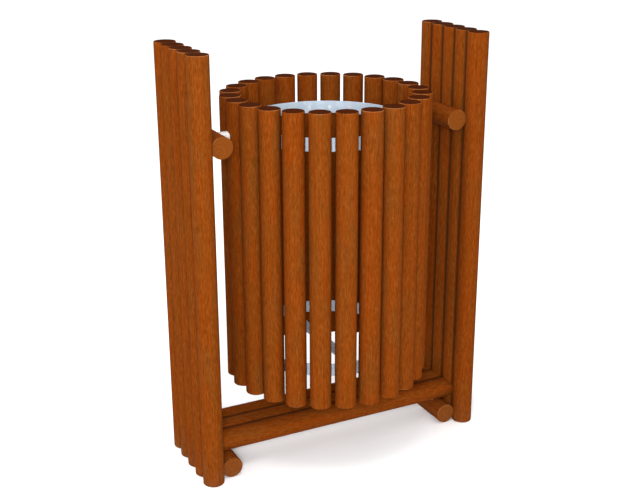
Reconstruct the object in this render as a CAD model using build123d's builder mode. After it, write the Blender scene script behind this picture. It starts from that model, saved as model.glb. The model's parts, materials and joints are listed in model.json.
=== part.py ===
from build123d import *

import os
from math import cos, radians, sin, sqrt, tan

# Litter bin: a round basket of upright wooden bars that tips between two side frames.
# Millimetres. The origin is on the ground at the middle of the bin, +X to the right,
# +Y to the rear and +Z up. The basket turns about a line along X at PIVOT_Z.

# ---- Driving dimensions ----

# Wood: every bar is the same round stock.
BAR_RADIUS = 25.0
BAR_CHAMFER = 1.5
SEAT_DEPTH = 1.0
SEAT_PLAY = 0.05
POLES_PER_SIDE = 5
POLE_HEIGHT = 1000.0
POLE_PITCH = 50.2
POLE_X = 345.0
WING_TRIM = 7.0

# Basket.
SLAT_COUNT = 24
SLAT_RING_RADIUS = 220.0
SLAT_BOTTOM_Z = 188.0
SLAT_TOP_Z = 875.0
UPPER_HOOP_Z = 797.0
LOWER_HOOP_Z = 265.0
HOOP_WIDTH = 30.0
HOOP_THICKNESS = 3.0
HOOP_EDGE = 0.5
STRAP_WIDTH = 30.0
STRAP_THICKNESS = 3.0
STRAP_BEND_RADIUS = 4.0

# Pivots: a pin, a clamping sleeve on the basket's side and a flanged bush in the log.
PIVOT_Z = UPPER_HOOP_Z
PIN_RADIUS = 8.0
PIN_HEAD_RADIUS = 15.0
PIN_HEAD_HEIGHT = 5.0
PIN_HEAD_ROUND = 2.0
PIN_END_CHAMFER = 1.0
PIN_SOCKET_FLAT_RADIUS = 5.0
PIN_SOCKET_DEPTH = 3.0
PIN_END_SPACE = 2.0
SLEEVE_RADIUS = 11.0
SLEEVE_EDGE = 0.5
BUSH_RADIUS = 10.0
BUSH_LENGTH = 15.0
BUSH_FLANGE_RADIUS = 15.0
BUSH_FLANGE_THICKNESS = 2.0
BUSH_BORE_SPACE = 1.0
RUNNING_CLEARANCE = 0.05
AXIAL_CLEARANCE = 0.3
SPOT_FACE_MARGIN = 0.2

# Fasteners.
FASTENER_PLAY = 0.05
HEXAGON_SIDES = 6
HOLE_END_SPACE = 0.5
SCREW_RADIUS = 2.5
SCREW_HEAD_RADIUS = 4.8
SCREW_HEAD_ANGLE = 90
SCREW_LENGTH = 40.0
SCREW_TIP_LENGTH = 5.0
SCREW_SOCKET_RADIUS = 2.2
SCREW_SOCKET_DEPTH = 1.3
DOWEL_RADIUS = 4.0
DOWEL_IN_LOG = 25.0
DOWEL_IN_POLE = 30.0
DOWEL_TIP = 2.0
DOWEL_END_MARGIN = 12.0
COACH_RADIUS = 4.0
COACH_INSET = 10.0
COACH_POCKET_RADIUS = 10.0
COACH_POCKET_DEPTH = 14.0
COACH_HEAD_FLAT_RADIUS = 6.5
COACH_HEAD_HEIGHT = 5.5
COACH_LENGTH = 70.0
COACH_TIP = 2.0
WASHER_RADIUS = 9.0
WASHER_THICKNESS = 1.6
WASHER_HOLE_RADIUS = 4.2

# ---- Dimensions that follow from them ----

SIDES = {"left": -1, "right": 1}
BAR_DIAMETER = 2 * BAR_RADIUS
LOG_X = POLE_X - BAR_DIAMETER + SEAT_DEPTH
LOG_HALF_LENGTH = (POLES_PER_SIDE - 1) / 2 * POLE_PITCH
LOG_HEIGHTS = {"lower": BAR_RADIUS, "upper": PIVOT_Z}
POLE_YS = [i * POLE_PITCH - LOG_HALF_LENGTH for i in range(POLES_PER_SIDE)]
BEAM_NAMES = {"front": POLE_YS[1], "middle": POLE_YS[2], "rear": POLE_YS[3]}
BEAM_Z = BAR_RADIUS + BAR_DIAMETER - SEAT_DEPTH
BEAM_HALF_LENGTH = POLE_X - WING_TRIM

HOOP_OUTER_RADIUS = SLAT_RING_RADIUS - BAR_RADIUS + SEAT_DEPTH
HOOP_INNER_RADIUS = HOOP_OUTER_RADIUS - HOOP_THICKNESS
SLAT_STEP = 360 / SLAT_COUNT
PIVOT_SIDES = {0: 1, 180: -1}
STRAP_ANGLES = (90, 270)

# A flat face of half-width w lies inside a hoop this far from the basket's axis.
PIN_HEAD_X = sqrt(HOOP_INNER_RADIUS**2 - PIN_HEAD_RADIUS**2)
SCREW_HEAD_REACH = sqrt(HOOP_INNER_RADIUS**2 - SCREW_HEAD_RADIUS**2)
STRAP_REACH = sqrt(HOOP_INNER_RADIUS**2 - (STRAP_WIDTH / 2) ** 2)
STRAP_BOTTOM_Z = LOWER_HOOP_Z - HOOP_WIDTH / 2 - STRAP_THICKNESS
STRAP_TOP_Z = LOWER_HOOP_Z + HOOP_WIDTH / 2
PILOT_REACH = SCREW_HEAD_REACH + SCREW_LENGTH + HOLE_END_SPACE

# A flat face of half-width w on a round bar is this deep.
SLAT_SPOT_RADIUS = SLEEVE_RADIUS + SPOT_FACE_MARGIN
SLAT_SPOT_DEPTH = BAR_RADIUS - sqrt(BAR_RADIUS**2 - SLAT_SPOT_RADIUS**2) + SPOT_FACE_MARGIN
LOG_SPOT_RADIUS = BUSH_FLANGE_RADIUS + SPOT_FACE_MARGIN
LOG_SPOT_DEPTH = BAR_RADIUS - sqrt(BAR_RADIUS**2 - LOG_SPOT_RADIUS**2) + SPOT_FACE_MARGIN
SLAT_OUTER_X = SLAT_RING_RADIUS + BAR_RADIUS
LOG_INNER_X = LOG_X - BAR_RADIUS
LOG_OUTER_X = LOG_X + BAR_RADIUS
BUSH_SEAT_X = LOG_INNER_X + LOG_SPOT_DEPTH
BUSH_FACE_X = BUSH_SEAT_X - BUSH_FLANGE_THICKNESS
BUSH_END_X = BUSH_SEAT_X + BUSH_LENGTH
SLEEVE_START_X = SLAT_OUTER_X - SLAT_SPOT_DEPTH
SLEEVE_END_X = BUSH_FACE_X - AXIAL_CLEARANCE
PIN_END_X = BUSH_END_X + BUSH_BORE_SPACE - PIN_END_SPACE

POLE_INNER_X = POLE_X - BAR_RADIUS
DOWEL_START_X = POLE_INNER_X - DOWEL_IN_LOG
DOWEL_LENGTH = DOWEL_IN_LOG + DOWEL_IN_POLE
DOWEL_LIMIT_Y = LOG_HALF_LENGTH - DOWEL_END_MARGIN
DOWEL_YS = [max(-DOWEL_LIMIT_Y, min(DOWEL_LIMIT_Y, y)) for y in POLE_YS]
COACH_X = LOG_X - COACH_INSET


# ---- Helpers ----


def facing_x(side, x, y, z):
    """Plane at the given place that faces left (side -1) or right (side 1)."""
    return Plane(origin=(x, y, z), z_dir=(side, 0, 0))


def facing_axis(angle, reach, z):
    """Plane at an angle round the basket, this far out, facing the basket's axis."""
    x = cos(radians(angle))
    y = sin(radians(angle))
    return Plane(origin=(reach * x, reach * y, z), z_dir=(-x, -y, 0))


def write(piece, name):
    """Label a finished piece and write it to its own file."""
    piece.part.label = name
    export_step(piece.part, f"parts/{name}.step")


# ---- Side frames ----


def make_pole(name, side, y, dowel_y):
    """One upright pole, drilled on its inner face for a dowel screw into each log."""
    with BuildPart() as pole:
        with BuildSketch(Plane.XY):
            with Locations((side * POLE_X, y)):
                Circle(BAR_RADIUS)
        extrude(amount=POLE_HEIGHT)
        chamfer(pole.edges().filter_by(GeomType.CIRCLE), length=BAR_CHAMFER)
        mouths = [facing_x(-side, side * POLE_INNER_X, dowel_y, z) for z in LOG_HEIGHTS.values()]
        with Locations(*mouths):
            Hole(DOWEL_RADIUS + FASTENER_PLAY, depth=DOWEL_IN_POLE + HOLE_END_SPACE)
    write(pole, name)


def make_cross_log(name, side, level):
    """One cross log with its seats for the poles; low ones take coach screws, high ones a bush."""
    log_z = LOG_HEIGHTS[level]
    with BuildPart() as log:
        with BuildSketch(Plane.XZ):
            with Locations((side * LOG_X, log_z)):
                Circle(BAR_RADIUS)
        extrude(amount=LOG_HALF_LENGTH, both=True)
        chamfer(log.edges().filter_by(GeomType.CIRCLE), length=BAR_CHAMFER)
        with BuildSketch(Plane.XY.offset(log_z - BAR_RADIUS)):
            with Locations(*[(side * POLE_X, y) for y in POLE_YS]):
                Circle(BAR_RADIUS + SEAT_PLAY)
        extrude(amount=BAR_DIAMETER, mode=Mode.SUBTRACT)
        with Locations(*[facing_x(side, side * LOG_OUTER_X, y, log_z) for y in DOWEL_YS]):
            Hole(
                DOWEL_RADIUS + FASTENER_PLAY,
                depth=LOG_OUTER_X - DOWEL_START_X + HOLE_END_SPACE,
            )
        if level == "lower":
            pockets = [
                Plane(origin=(side * COACH_X, y, 0), z_dir=(0, 0, -1)) for y in BEAM_NAMES.values()
            ]
            with Locations(*pockets):
                CounterBoreHole(
                    COACH_RADIUS + FASTENER_PLAY,
                    counter_bore_radius=COACH_POCKET_RADIUS,
                    counter_bore_depth=COACH_POCKET_DEPTH,
                    depth=BAR_DIAMETER,
                )
        else:
            with Locations(facing_x(-side, side * LOG_INNER_X, 0, log_z)):
                CounterBoreHole(
                    BUSH_RADIUS + FASTENER_PLAY,
                    counter_bore_radius=LOG_SPOT_RADIUS,
                    counter_bore_depth=LOG_SPOT_DEPTH,
                    depth=BUSH_END_X + BUSH_BORE_SPACE - LOG_INNER_X,
                )
    write(log, name)


def make_floor_beam(name, y):
    """One floor beam: ends scribed round the poles, underside seated on the low logs."""
    with BuildPart() as beam:
        with BuildSketch(Plane.YZ):
            with Locations((y, BEAM_Z)):
                Circle(BAR_RADIUS)
        extrude(amount=BEAM_HALF_LENGTH, both=True)
        with BuildSketch(Plane.XY.offset(BEAM_Z - BAR_RADIUS)):
            with Locations(*[(side * POLE_X, y) for side in SIDES.values()]):
                Circle(BAR_RADIUS + SEAT_PLAY)
        extrude(amount=BAR_DIAMETER, mode=Mode.SUBTRACT)
        with BuildSketch(Plane.XZ):
            with Locations(*[(side * LOG_X, BAR_RADIUS) for side in SIDES.values()]):
                Circle(BAR_RADIUS + SEAT_PLAY)
        extrude(amount=LOG_HALF_LENGTH, both=True, mode=Mode.SUBTRACT)
        starts = [
            Plane(origin=(side * COACH_X, y, BEAM_Z - BAR_RADIUS), z_dir=(0, 0, -1))
            for side in SIDES.values()
        ]
        screw_top = COACH_POCKET_DEPTH - WASHER_THICKNESS + COACH_LENGTH
        with Locations(*starts):
            Hole(
                COACH_RADIUS + FASTENER_PLAY,
                depth=screw_top - BEAM_Z + BAR_RADIUS + HOLE_END_SPACE,
            )
    write(beam, name)


# ---- Basket ----


def make_slat(name, angle):
    """One upright slat, seated on both hoops and drilled for what holds it to them."""
    with BuildPart() as slat:
        with BuildSketch(Plane.XY.offset(SLAT_BOTTOM_Z)):
            with PolarLocations(SLAT_RING_RADIUS, 1, start_angle=angle):
                Circle(BAR_RADIUS)
        extrude(amount=SLAT_TOP_Z - SLAT_BOTTOM_Z)
        chamfer(slat.edges().filter_by(GeomType.CIRCLE), length=BAR_CHAMFER)
        for hoop_z in (LOWER_HOOP_Z, UPPER_HOOP_Z):
            with BuildSketch(Plane.XY.offset(hoop_z - HOOP_WIDTH / 2 - SEAT_PLAY)):
                Circle(HOOP_OUTER_RADIUS + SEAT_PLAY)
            extrude(amount=HOOP_WIDTH + 2 * SEAT_PLAY, mode=Mode.SUBTRACT)
        screw_heights = [LOWER_HOOP_Z]
        if angle not in PIVOT_SIDES:
            screw_heights.append(UPPER_HOOP_Z)
        with Locations(*[facing_axis(angle, HOOP_OUTER_RADIUS, z) for z in screw_heights]):
            Hole(SCREW_RADIUS + FASTENER_PLAY, depth=PILOT_REACH - HOOP_OUTER_RADIUS)
        if angle in PIVOT_SIDES:
            side = PIVOT_SIDES[angle]
            with Locations(facing_x(side, side * SLAT_OUTER_X, 0, PIVOT_Z)):
                CounterBoreHole(
                    PIN_RADIUS + FASTENER_PLAY,
                    counter_bore_radius=SLAT_SPOT_RADIUS,
                    counter_bore_depth=SLAT_SPOT_DEPTH,
                    depth=BAR_DIAMETER,
                )
    write(slat, name)


def make_hoop(name, hoop_z, plain_holes):
    """One flat hoop; plain_holes maps a slat's angle to its hole's radius, the rest countersunk."""
    sunk_angles = [i * SLAT_STEP for i in range(SLAT_COUNT) if i * SLAT_STEP not in plain_holes]
    with BuildPart() as hoop:
        with BuildSketch(Plane.XY.offset(hoop_z - HOOP_WIDTH / 2)):
            Circle(HOOP_OUTER_RADIUS)
            Circle(HOOP_INNER_RADIUS, mode=Mode.SUBTRACT)
        extrude(amount=HOOP_WIDTH)
        chamfer(hoop.edges().filter_by(GeomType.CIRCLE), length=HOOP_EDGE)
        with Locations(*[facing_axis(angle, SCREW_HEAD_REACH, hoop_z) for angle in sunk_angles]):
            CounterSinkHole(
                SCREW_RADIUS + FASTENER_PLAY,
                counter_sink_radius=SCREW_HEAD_RADIUS + FASTENER_PLAY,
                depth=2 * HOOP_THICKNESS,
                counter_sink_angle=SCREW_HEAD_ANGLE,
            )
        for angle, radius in plain_holes.items():
            with Locations(facing_axis(angle, HOOP_INNER_RADIUS - HOOP_THICKNESS, hoop_z)):
                Hole(radius, depth=3 * HOOP_THICKNESS)
    write(hoop, name)


def make_strap(name):
    """The strap under the basket, its ends turned up inside the low hoop."""
    inner_reach = STRAP_REACH - STRAP_THICKNESS
    with BuildPart() as strap:
        with BuildSketch(Plane.YZ):
            with BuildLine():
                FilletPolyline(
                    (-STRAP_REACH, STRAP_TOP_Z),
                    (-STRAP_REACH, STRAP_BOTTOM_Z),
                    (STRAP_REACH, STRAP_BOTTOM_Z),
                    (STRAP_REACH, STRAP_TOP_Z),
                    radius=STRAP_BEND_RADIUS + STRAP_THICKNESS,
                )
                Line((STRAP_REACH, STRAP_TOP_Z), (inner_reach, STRAP_TOP_Z))
                FilletPolyline(
                    (inner_reach, STRAP_TOP_Z),
                    (inner_reach, STRAP_BOTTOM_Z + STRAP_THICKNESS),
                    (-inner_reach, STRAP_BOTTOM_Z + STRAP_THICKNESS),
                    (-inner_reach, STRAP_TOP_Z),
                    radius=STRAP_BEND_RADIUS,
                )
                Line((-inner_reach, STRAP_TOP_Z), (-STRAP_REACH, STRAP_TOP_Z))
            make_face()
        extrude(amount=STRAP_WIDTH / 2, both=True)
        with Locations(*[facing_axis(angle, inner_reach, LOWER_HOOP_Z) for angle in STRAP_ANGLES]):
            CounterSinkHole(
                SCREW_RADIUS + FASTENER_PLAY,
                counter_sink_radius=SCREW_HEAD_RADIUS + FASTENER_PLAY,
                depth=2 * STRAP_THICKNESS,
                counter_sink_angle=SCREW_HEAD_ANGLE,
            )
    write(strap, name)


# ---- Pivots ----


def make_pivot_pin(name, side):
    """One pivot pin: a low head with a hexagon socket inside the high hoop, end in the bush."""
    outward = Axis((0, 0, PIVOT_Z), (side, 0, 0))
    with BuildPart() as pin:
        with BuildSketch(facing_x(-side, side * PIN_HEAD_X, 0, PIVOT_Z)):
            Circle(PIN_HEAD_RADIUS)
        extrude(amount=PIN_HEAD_HEIGHT)
        fillet(pin.faces().sort_by(outward)[0].edges(), radius=PIN_HEAD_ROUND)
        with BuildSketch(facing_x(-side, side * (PIN_HEAD_X - PIN_HEAD_HEIGHT), 0, PIVOT_Z)):
            RegularPolygon(PIN_SOCKET_FLAT_RADIUS, HEXAGON_SIDES, major_radius=False)
        extrude(amount=-PIN_SOCKET_DEPTH, mode=Mode.SUBTRACT)
        with BuildSketch(facing_x(side, side * PIN_HEAD_X, 0, PIVOT_Z)):
            Circle(PIN_RADIUS)
        extrude(amount=PIN_END_X - PIN_HEAD_X)
        chamfer(pin.faces().sort_by(outward)[-1].edges(), length=PIN_END_CHAMFER)
    write(pin, name)


def make_pivot_sleeve(name, side):
    """One sleeve that screws onto the pin and clamps the slat and the hoop to its head."""
    with BuildPart() as sleeve:
        with BuildSketch(facing_x(side, side * SLEEVE_START_X, 0, PIVOT_Z)):
            Circle(SLEEVE_RADIUS)
        extrude(amount=SLEEVE_END_X - SLEEVE_START_X)
        chamfer(sleeve.edges().filter_by(GeomType.CIRCLE), length=SLEEVE_EDGE)
        with BuildSketch(facing_x(side, side * SLEEVE_START_X, 0, PIVOT_Z)):
            Circle(PIN_RADIUS)
        extrude(amount=SLEEVE_END_X - SLEEVE_START_X, mode=Mode.SUBTRACT)
    write(sleeve, name)


def make_pivot_bush(name, side):
    """One flanged bush in a high cross log, the bearing that its pin turns in."""
    with BuildPart() as bush:
        with BuildSketch(facing_x(side, side * BUSH_FACE_X, 0, PIVOT_Z)):
            Circle(BUSH_FLANGE_RADIUS)
        extrude(amount=BUSH_FLANGE_THICKNESS)
        with BuildSketch(facing_x(side, side * BUSH_FACE_X, 0, PIVOT_Z)):
            Circle(BUSH_RADIUS)
        extrude(amount=BUSH_END_X - BUSH_FACE_X)
        with BuildSketch(facing_x(side, side * BUSH_FACE_X, 0, PIVOT_Z)):
            Circle(PIN_RADIUS + RUNNING_CLEARANCE)
        extrude(amount=BUSH_END_X - BUSH_FACE_X, mode=Mode.SUBTRACT)
    write(bush, name)


# ---- Fasteners: each is shaped once, pointing down from its head at the origin ----


def shape_wood_screw():
    """Countersunk wood screw with a hexagon socket."""
    neck = (SCREW_HEAD_RADIUS - SCREW_RADIUS) / tan(radians(SCREW_HEAD_ANGLE / 2))
    with BuildPart() as screw:
        with BuildSketch(Plane.XZ):
            with BuildLine():
                Polyline(
                    (0, 0),
                    (SCREW_HEAD_RADIUS, 0),
                    (SCREW_RADIUS, -neck),
                    (SCREW_RADIUS, SCREW_TIP_LENGTH - SCREW_LENGTH),
                    (0, -SCREW_LENGTH),
                    close=True,
                )
            make_face()
        revolve(axis=Axis.Z)
        with BuildSketch(Plane.XY):
            RegularPolygon(SCREW_SOCKET_RADIUS, HEXAGON_SIDES)
        extrude(amount=-SCREW_SOCKET_DEPTH, mode=Mode.SUBTRACT)
    return screw.part


def shape_dowel_screw():
    """Headless double-ended screw, pointed at both ends."""
    with BuildPart() as dowel:
        with BuildSketch(Plane.XY):
            Circle(DOWEL_RADIUS)
        extrude(amount=-DOWEL_LENGTH)
        chamfer(dowel.edges().filter_by(GeomType.CIRCLE), length=DOWEL_TIP)
    return dowel.part


def shape_coach_screw():
    """Hexagon-headed coach screw, the underside of its head at the origin."""
    with BuildPart() as screw:
        with BuildSketch(Plane.XY):
            RegularPolygon(COACH_HEAD_FLAT_RADIUS, HEXAGON_SIDES, major_radius=False)
        extrude(amount=COACH_HEAD_HEIGHT)
        with BuildSketch(Plane.XY):
            Circle(COACH_RADIUS)
        extrude(amount=-COACH_LENGTH)
        chamfer(screw.faces().sort_by(Axis.Z)[0].edges(), length=COACH_TIP)
    return screw.part


def shape_washer():
    """Flat washer, its top face at the origin."""
    with BuildPart() as washer:
        with BuildSketch(Plane.XY):
            Circle(WASHER_RADIUS)
            Circle(WASHER_HOLE_RADIUS, mode=Mode.SUBTRACT)
        extrude(amount=-WASHER_THICKNESS)
    return washer.part


def make_group(name, shape, places):
    """Identical pieces, one at each place, written together as separate solids."""
    with BuildPart() as group:
        with Locations(*places):
            add(shape)
    write(group, name)


# ---- The whole bin ----

os.makedirs("parts", exist_ok=True)

for side_name, side in SIDES.items():
    for number, (pole_y, dowel_y) in enumerate(zip(POLE_YS, DOWEL_YS), start=1):
        make_pole(f"{side_name}_pole_{number}", side, pole_y, dowel_y)
    for level in LOG_HEIGHTS:
        make_cross_log(f"{side_name}_{level}_cross_log", side, level)
    make_pivot_pin(f"{side_name}_pivot_pin", side)
    make_pivot_sleeve(f"{side_name}_pivot_sleeve", side)
    make_pivot_bush(f"{side_name}_pivot_bush", side)
    dowel_places = [
        facing_x(-side, side * DOWEL_START_X, y, z) for y in DOWEL_YS for z in LOG_HEIGHTS.values()
    ]
    make_group(f"{side_name}_dowel_screws", shape_dowel_screw(), dowel_places)

for beam_name, beam_y in BEAM_NAMES.items():
    make_floor_beam(f"{beam_name}_floor_beam", beam_y)

slat_angles = [i * SLAT_STEP for i in range(SLAT_COUNT)]
for number, angle in enumerate(slat_angles, start=1):
    make_slat(f"basket_slat_{number:02d}", angle)
pin_holes = {angle: PIN_RADIUS + FASTENER_PLAY for angle in PIVOT_SIDES}
strap_holes = {angle: SCREW_RADIUS + FASTENER_PLAY for angle in STRAP_ANGLES}
make_hoop("upper_hoop", UPPER_HOOP_Z, pin_holes)
make_hoop("lower_hoop", LOWER_HOOP_Z, strap_holes)
make_strap("bottom_strap")

wood_screw = shape_wood_screw()
upper_places = [
    facing_axis(angle, SCREW_HEAD_REACH, UPPER_HOOP_Z)
    for angle in slat_angles
    if angle not in PIVOT_SIDES
]
lower_places = [
    facing_axis(angle, SCREW_HEAD_REACH, LOWER_HOOP_Z)
    for angle in slat_angles
    if angle not in STRAP_ANGLES
]
strap_places = [
    facing_axis(angle, STRAP_REACH - STRAP_THICKNESS, LOWER_HOOP_Z) for angle in STRAP_ANGLES
]
make_group("upper_hoop_screws", wood_screw, upper_places)
make_group("lower_hoop_screws", wood_screw, lower_places)
make_group("strap_screws", wood_screw, strap_places)

beam_crossings = [(side * COACH_X, y) for side in SIDES.values() for y in BEAM_NAMES.values()]
washer_places = [
    Plane(origin=(x, y, COACH_POCKET_DEPTH), z_dir=(0, 0, 1)) for x, y in beam_crossings
]
coach_places = [
    Plane(origin=(x, y, COACH_POCKET_DEPTH - WASHER_THICKNESS), z_dir=(0, 0, -1))
    for x, y in beam_crossings
]
make_group("floor_beam_washers", shape_washer(), washer_places)
make_group("floor_beam_screws", shape_coach_screw(), coach_places)
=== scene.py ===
import json
import logging
import math
from dataclasses import dataclass, field
from enum import Enum
from typing import Protocol

import bpy
import numpy as np
from mathutils import Euler, Matrix, Vector


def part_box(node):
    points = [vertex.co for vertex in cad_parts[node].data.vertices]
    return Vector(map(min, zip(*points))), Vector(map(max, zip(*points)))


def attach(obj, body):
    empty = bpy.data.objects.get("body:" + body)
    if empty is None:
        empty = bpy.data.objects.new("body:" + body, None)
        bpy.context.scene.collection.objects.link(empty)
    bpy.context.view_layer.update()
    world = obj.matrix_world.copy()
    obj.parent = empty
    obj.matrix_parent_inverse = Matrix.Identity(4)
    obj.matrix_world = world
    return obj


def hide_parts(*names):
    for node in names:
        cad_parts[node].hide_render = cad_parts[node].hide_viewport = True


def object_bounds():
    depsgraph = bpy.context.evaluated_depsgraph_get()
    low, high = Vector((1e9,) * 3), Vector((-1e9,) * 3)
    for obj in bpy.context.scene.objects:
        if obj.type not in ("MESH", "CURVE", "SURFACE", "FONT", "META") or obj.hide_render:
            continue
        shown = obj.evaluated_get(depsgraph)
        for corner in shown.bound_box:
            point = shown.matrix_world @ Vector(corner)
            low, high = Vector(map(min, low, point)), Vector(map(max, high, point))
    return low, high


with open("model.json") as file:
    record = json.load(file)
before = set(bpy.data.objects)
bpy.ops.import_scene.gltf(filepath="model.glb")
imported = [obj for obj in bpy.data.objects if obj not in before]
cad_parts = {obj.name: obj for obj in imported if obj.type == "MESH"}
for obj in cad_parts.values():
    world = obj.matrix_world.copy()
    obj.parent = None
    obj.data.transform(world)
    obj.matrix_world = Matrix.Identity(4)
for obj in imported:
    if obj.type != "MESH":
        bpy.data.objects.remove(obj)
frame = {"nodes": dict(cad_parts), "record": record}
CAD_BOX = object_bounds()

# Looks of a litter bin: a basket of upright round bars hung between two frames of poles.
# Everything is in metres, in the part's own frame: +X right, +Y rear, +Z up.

LOG = logging.getLogger("litter_bin")
Array = np.ndarray
Socket = bpy.types.NodeSocket
Colour = tuple[float, float, float, float]
Chart = tuple[int, int, int]
FULL_TURN = 2 * math.pi

# What a bar's points know: their place in the log, how far they belong to an end face, and
# how narrow the gap to the next bar is, which sets the painted shade laid in that gap.
PLACE = "wood_place"
END = "end_grain"
NARROW = "narrow_gap"

# Linear tones: painted shade for narrow gaps, also the dark of the drying checks, and weathering.
GAP_SHADE_AND_CHECK_TONE: Colour = (0.03, 0.012, 0.004, 1.0)
WORN_TONE: Colour = (0.42, 0.2, 0.08, 1.0)
SPLASH_TONE: Colour = (0.14, 0.085, 0.045, 1.0)
WOOD_DUST_TONE: Colour = (0.16, 0.08, 0.04, 1.0)
STEEL_DUST_TONE: Colour = (0.3, 0.26, 0.21, 1.0)


# ---------------------------------------------------------------- shader benches


def stain(red: int, green: int, blue: int) -> Colour:
    """Turn a paint-chart colour, 0 to 255 a channel, into a linear colour.

    Args:
        red: Red of the chart colour.
        green: Green of the chart colour.
        blue: Blue of the chart colour.

    Returns:
        Linear red, green, blue and an alpha of 1.
    """
    chart = np.array([red, green, blue]) / 255
    linear = np.where(chart <= 0.04045, chart / 12.92, ((chart + 0.055) / 1.055) ** 2.4)
    return (float(linear[0]), float(linear[1]), float(linear[2]), 1.0)


def tinted(colour: Colour, share: float) -> Colour:
    """Brighten or darken a linear colour, and keep its alpha.

    Args:
        colour: The linear colour.
        share: What its red, green and blue are multiplied by.

    Returns:
        The new linear colour.
    """
    return (colour[0] * share, colour[1] * share, colour[2] * share, colour[3])


class Bench:
    """Lays nodes in one shader tree and joins them."""

    def __init__(self, tree: bpy.types.NodeTree) -> None:
        """Take the tree to work in."""
        self.tree = tree

    def add(self, kind: str, **inputs: object) -> bpy.types.Node:
        """Add a node and feed its inputs.

        Args:
            kind: Node type, as Blender names it.
            inputs: Input names, spaces as underscores, each with a value or a socket.

        Returns:
            The new node.
        """
        node = self.tree.nodes.new(kind)
        for name, value in inputs.items():
            self.feed(node.inputs[name.replace("_", " ")], value)
        return node

    def feed(self, socket: Socket, value: object) -> None:
        """Join a socket to another, or set its value.

        Args:
            socket: The socket to feed.
            value: Another socket, or a plain value.
        """
        if isinstance(value, bpy.types.NodeSocket):
            self.tree.links.new(value, socket)
        else:
            socket.default_value = value

    def math(self, operation: str, *values: object, clamp: bool = False) -> Socket:
        """Do arithmetic on up to three values.

        Args:
            operation: The arithmetic, as Blender names it.
            values: Values or sockets.
            clamp: Whether the result is kept between 0 and 1.

        Returns:
            The result's socket.
        """
        node = self.tree.nodes.new("ShaderNodeMath")
        node.operation = operation
        node.use_clamp = clamp
        for socket, value in zip(node.inputs, values):
            self.feed(socket, value)
        return node.outputs[0]

    def vector(self, operation: str, *values: object) -> Socket:
        """Do arithmetic on vectors.

        Args:
            operation: The arithmetic, as Blender names it.
            values: Vectors or sockets.

        Returns:
            The result's socket, a plain value for a length and a vector for the rest.
        """
        node = self.tree.nodes.new("ShaderNodeVectorMath")
        node.operation = operation
        for socket, value in zip(node.inputs, values):
            self.feed(socket, value)
        return node.outputs["Value" if operation == "LENGTH" else "Vector"]

    def noise(self, place: Socket, scale: float, detail: float, rough: float = 0.5) -> Socket:
        """Lay a cloudy pattern from 0 to 1.

        Args:
            place: Where the pattern is read.
            scale: How many patches lie in a metre, roughly.
            detail: How many times finer patches are added.
            rough: How much each finer layer counts against the last.

        Returns:
            The pattern's socket.
        """
        node = self.add("ShaderNodeTexNoise", Vector=place, Scale=scale)
        node.inputs["Detail"].default_value = detail
        node.inputs["Roughness"].default_value = rough
        return node.outputs[0]

    def spread(self, value: Socket, low: float, high: float) -> Socket:
        """Spread the values between two bounds over 0 to 1, eased at both ends.

        Args:
            value: The values.
            low: What becomes 0, as does all below it.
            high: What becomes 1, as does all above it.

        Returns:
            The result's socket.
        """
        node = self.add("ShaderNodeMapRange", Value=value)
        node.interpolation_type = "SMOOTHSTEP"
        node.inputs["From Min"].default_value = low
        node.inputs["From Max"].default_value = high
        return node.outputs[0]

    def inverse(self, value: Socket) -> Socket:
        """Return the socket of 1 less a value."""
        return self.math("SUBTRACT", 1.0, value)

    def thin_lines(self, cloud: Socket, width: float) -> Socket:
        """Draw a line wherever a cloudy pattern passes its middle value.

        Args:
            cloud: The pattern, from 0 to 1.
            width: How far from its middle value the line fades out.

        Returns:
            The lines' socket, 1 on a line.
        """
        off_middle = self.math("ABSOLUTE", self.math("SUBTRACT", cloud, 0.5))
        return self.inverse(self.spread(off_middle, 0.0, width))

    def mix(self, share: object, under: object, over: object) -> Socket:
        """Blend two colours.

        Blender's mix node takes the share in its input 0 and colours in 6 and 7, and gives
        a colour in its output 2.

        Args:
            share: How much of the second colour there is, from 0 to 1.
            under: The first colour.
            over: The second colour.

        Returns:
            The result's socket.
        """
        node = self.tree.nodes.new("ShaderNodeMix")
        node.data_type = "RGBA"
        self.feed(node.inputs[0], share)
        self.feed(node.inputs[6], under)
        self.feed(node.inputs[7], over)
        return node.outputs[2]

    def layer(self, under: object, over: object, cover: Socket, share: object) -> Socket:
        """Lay one colour over another where a pattern says.

        Args:
            under: The colour below.
            over: The colour laid over it.
            cover: The pattern, from 0 to 1.
            share: How much is hidden where the pattern is 1, a value or a socket.

        Returns:
            The result's socket.
        """
        return self.mix(self.math("MULTIPLY", cover, share), under, over)

    def relief(
        self, surface: bpy.types.Node, height: Socket, strength: float, depth: float
    ) -> None:
        """Roughen a surface shader with a pattern of heights.

        Args:
            surface: The surface shader.
            height: The pattern.
            strength: How strongly it shows, from 0 to 1.
            depth: How deep a height of 1 is.
        """
        bump = self.add("ShaderNodeBump", Height=height)
        bump.inputs["Strength"].default_value = strength
        bump.inputs["Distance"].default_value = depth
        self.feed(surface.inputs["Normal"], bump.outputs[0])


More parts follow.
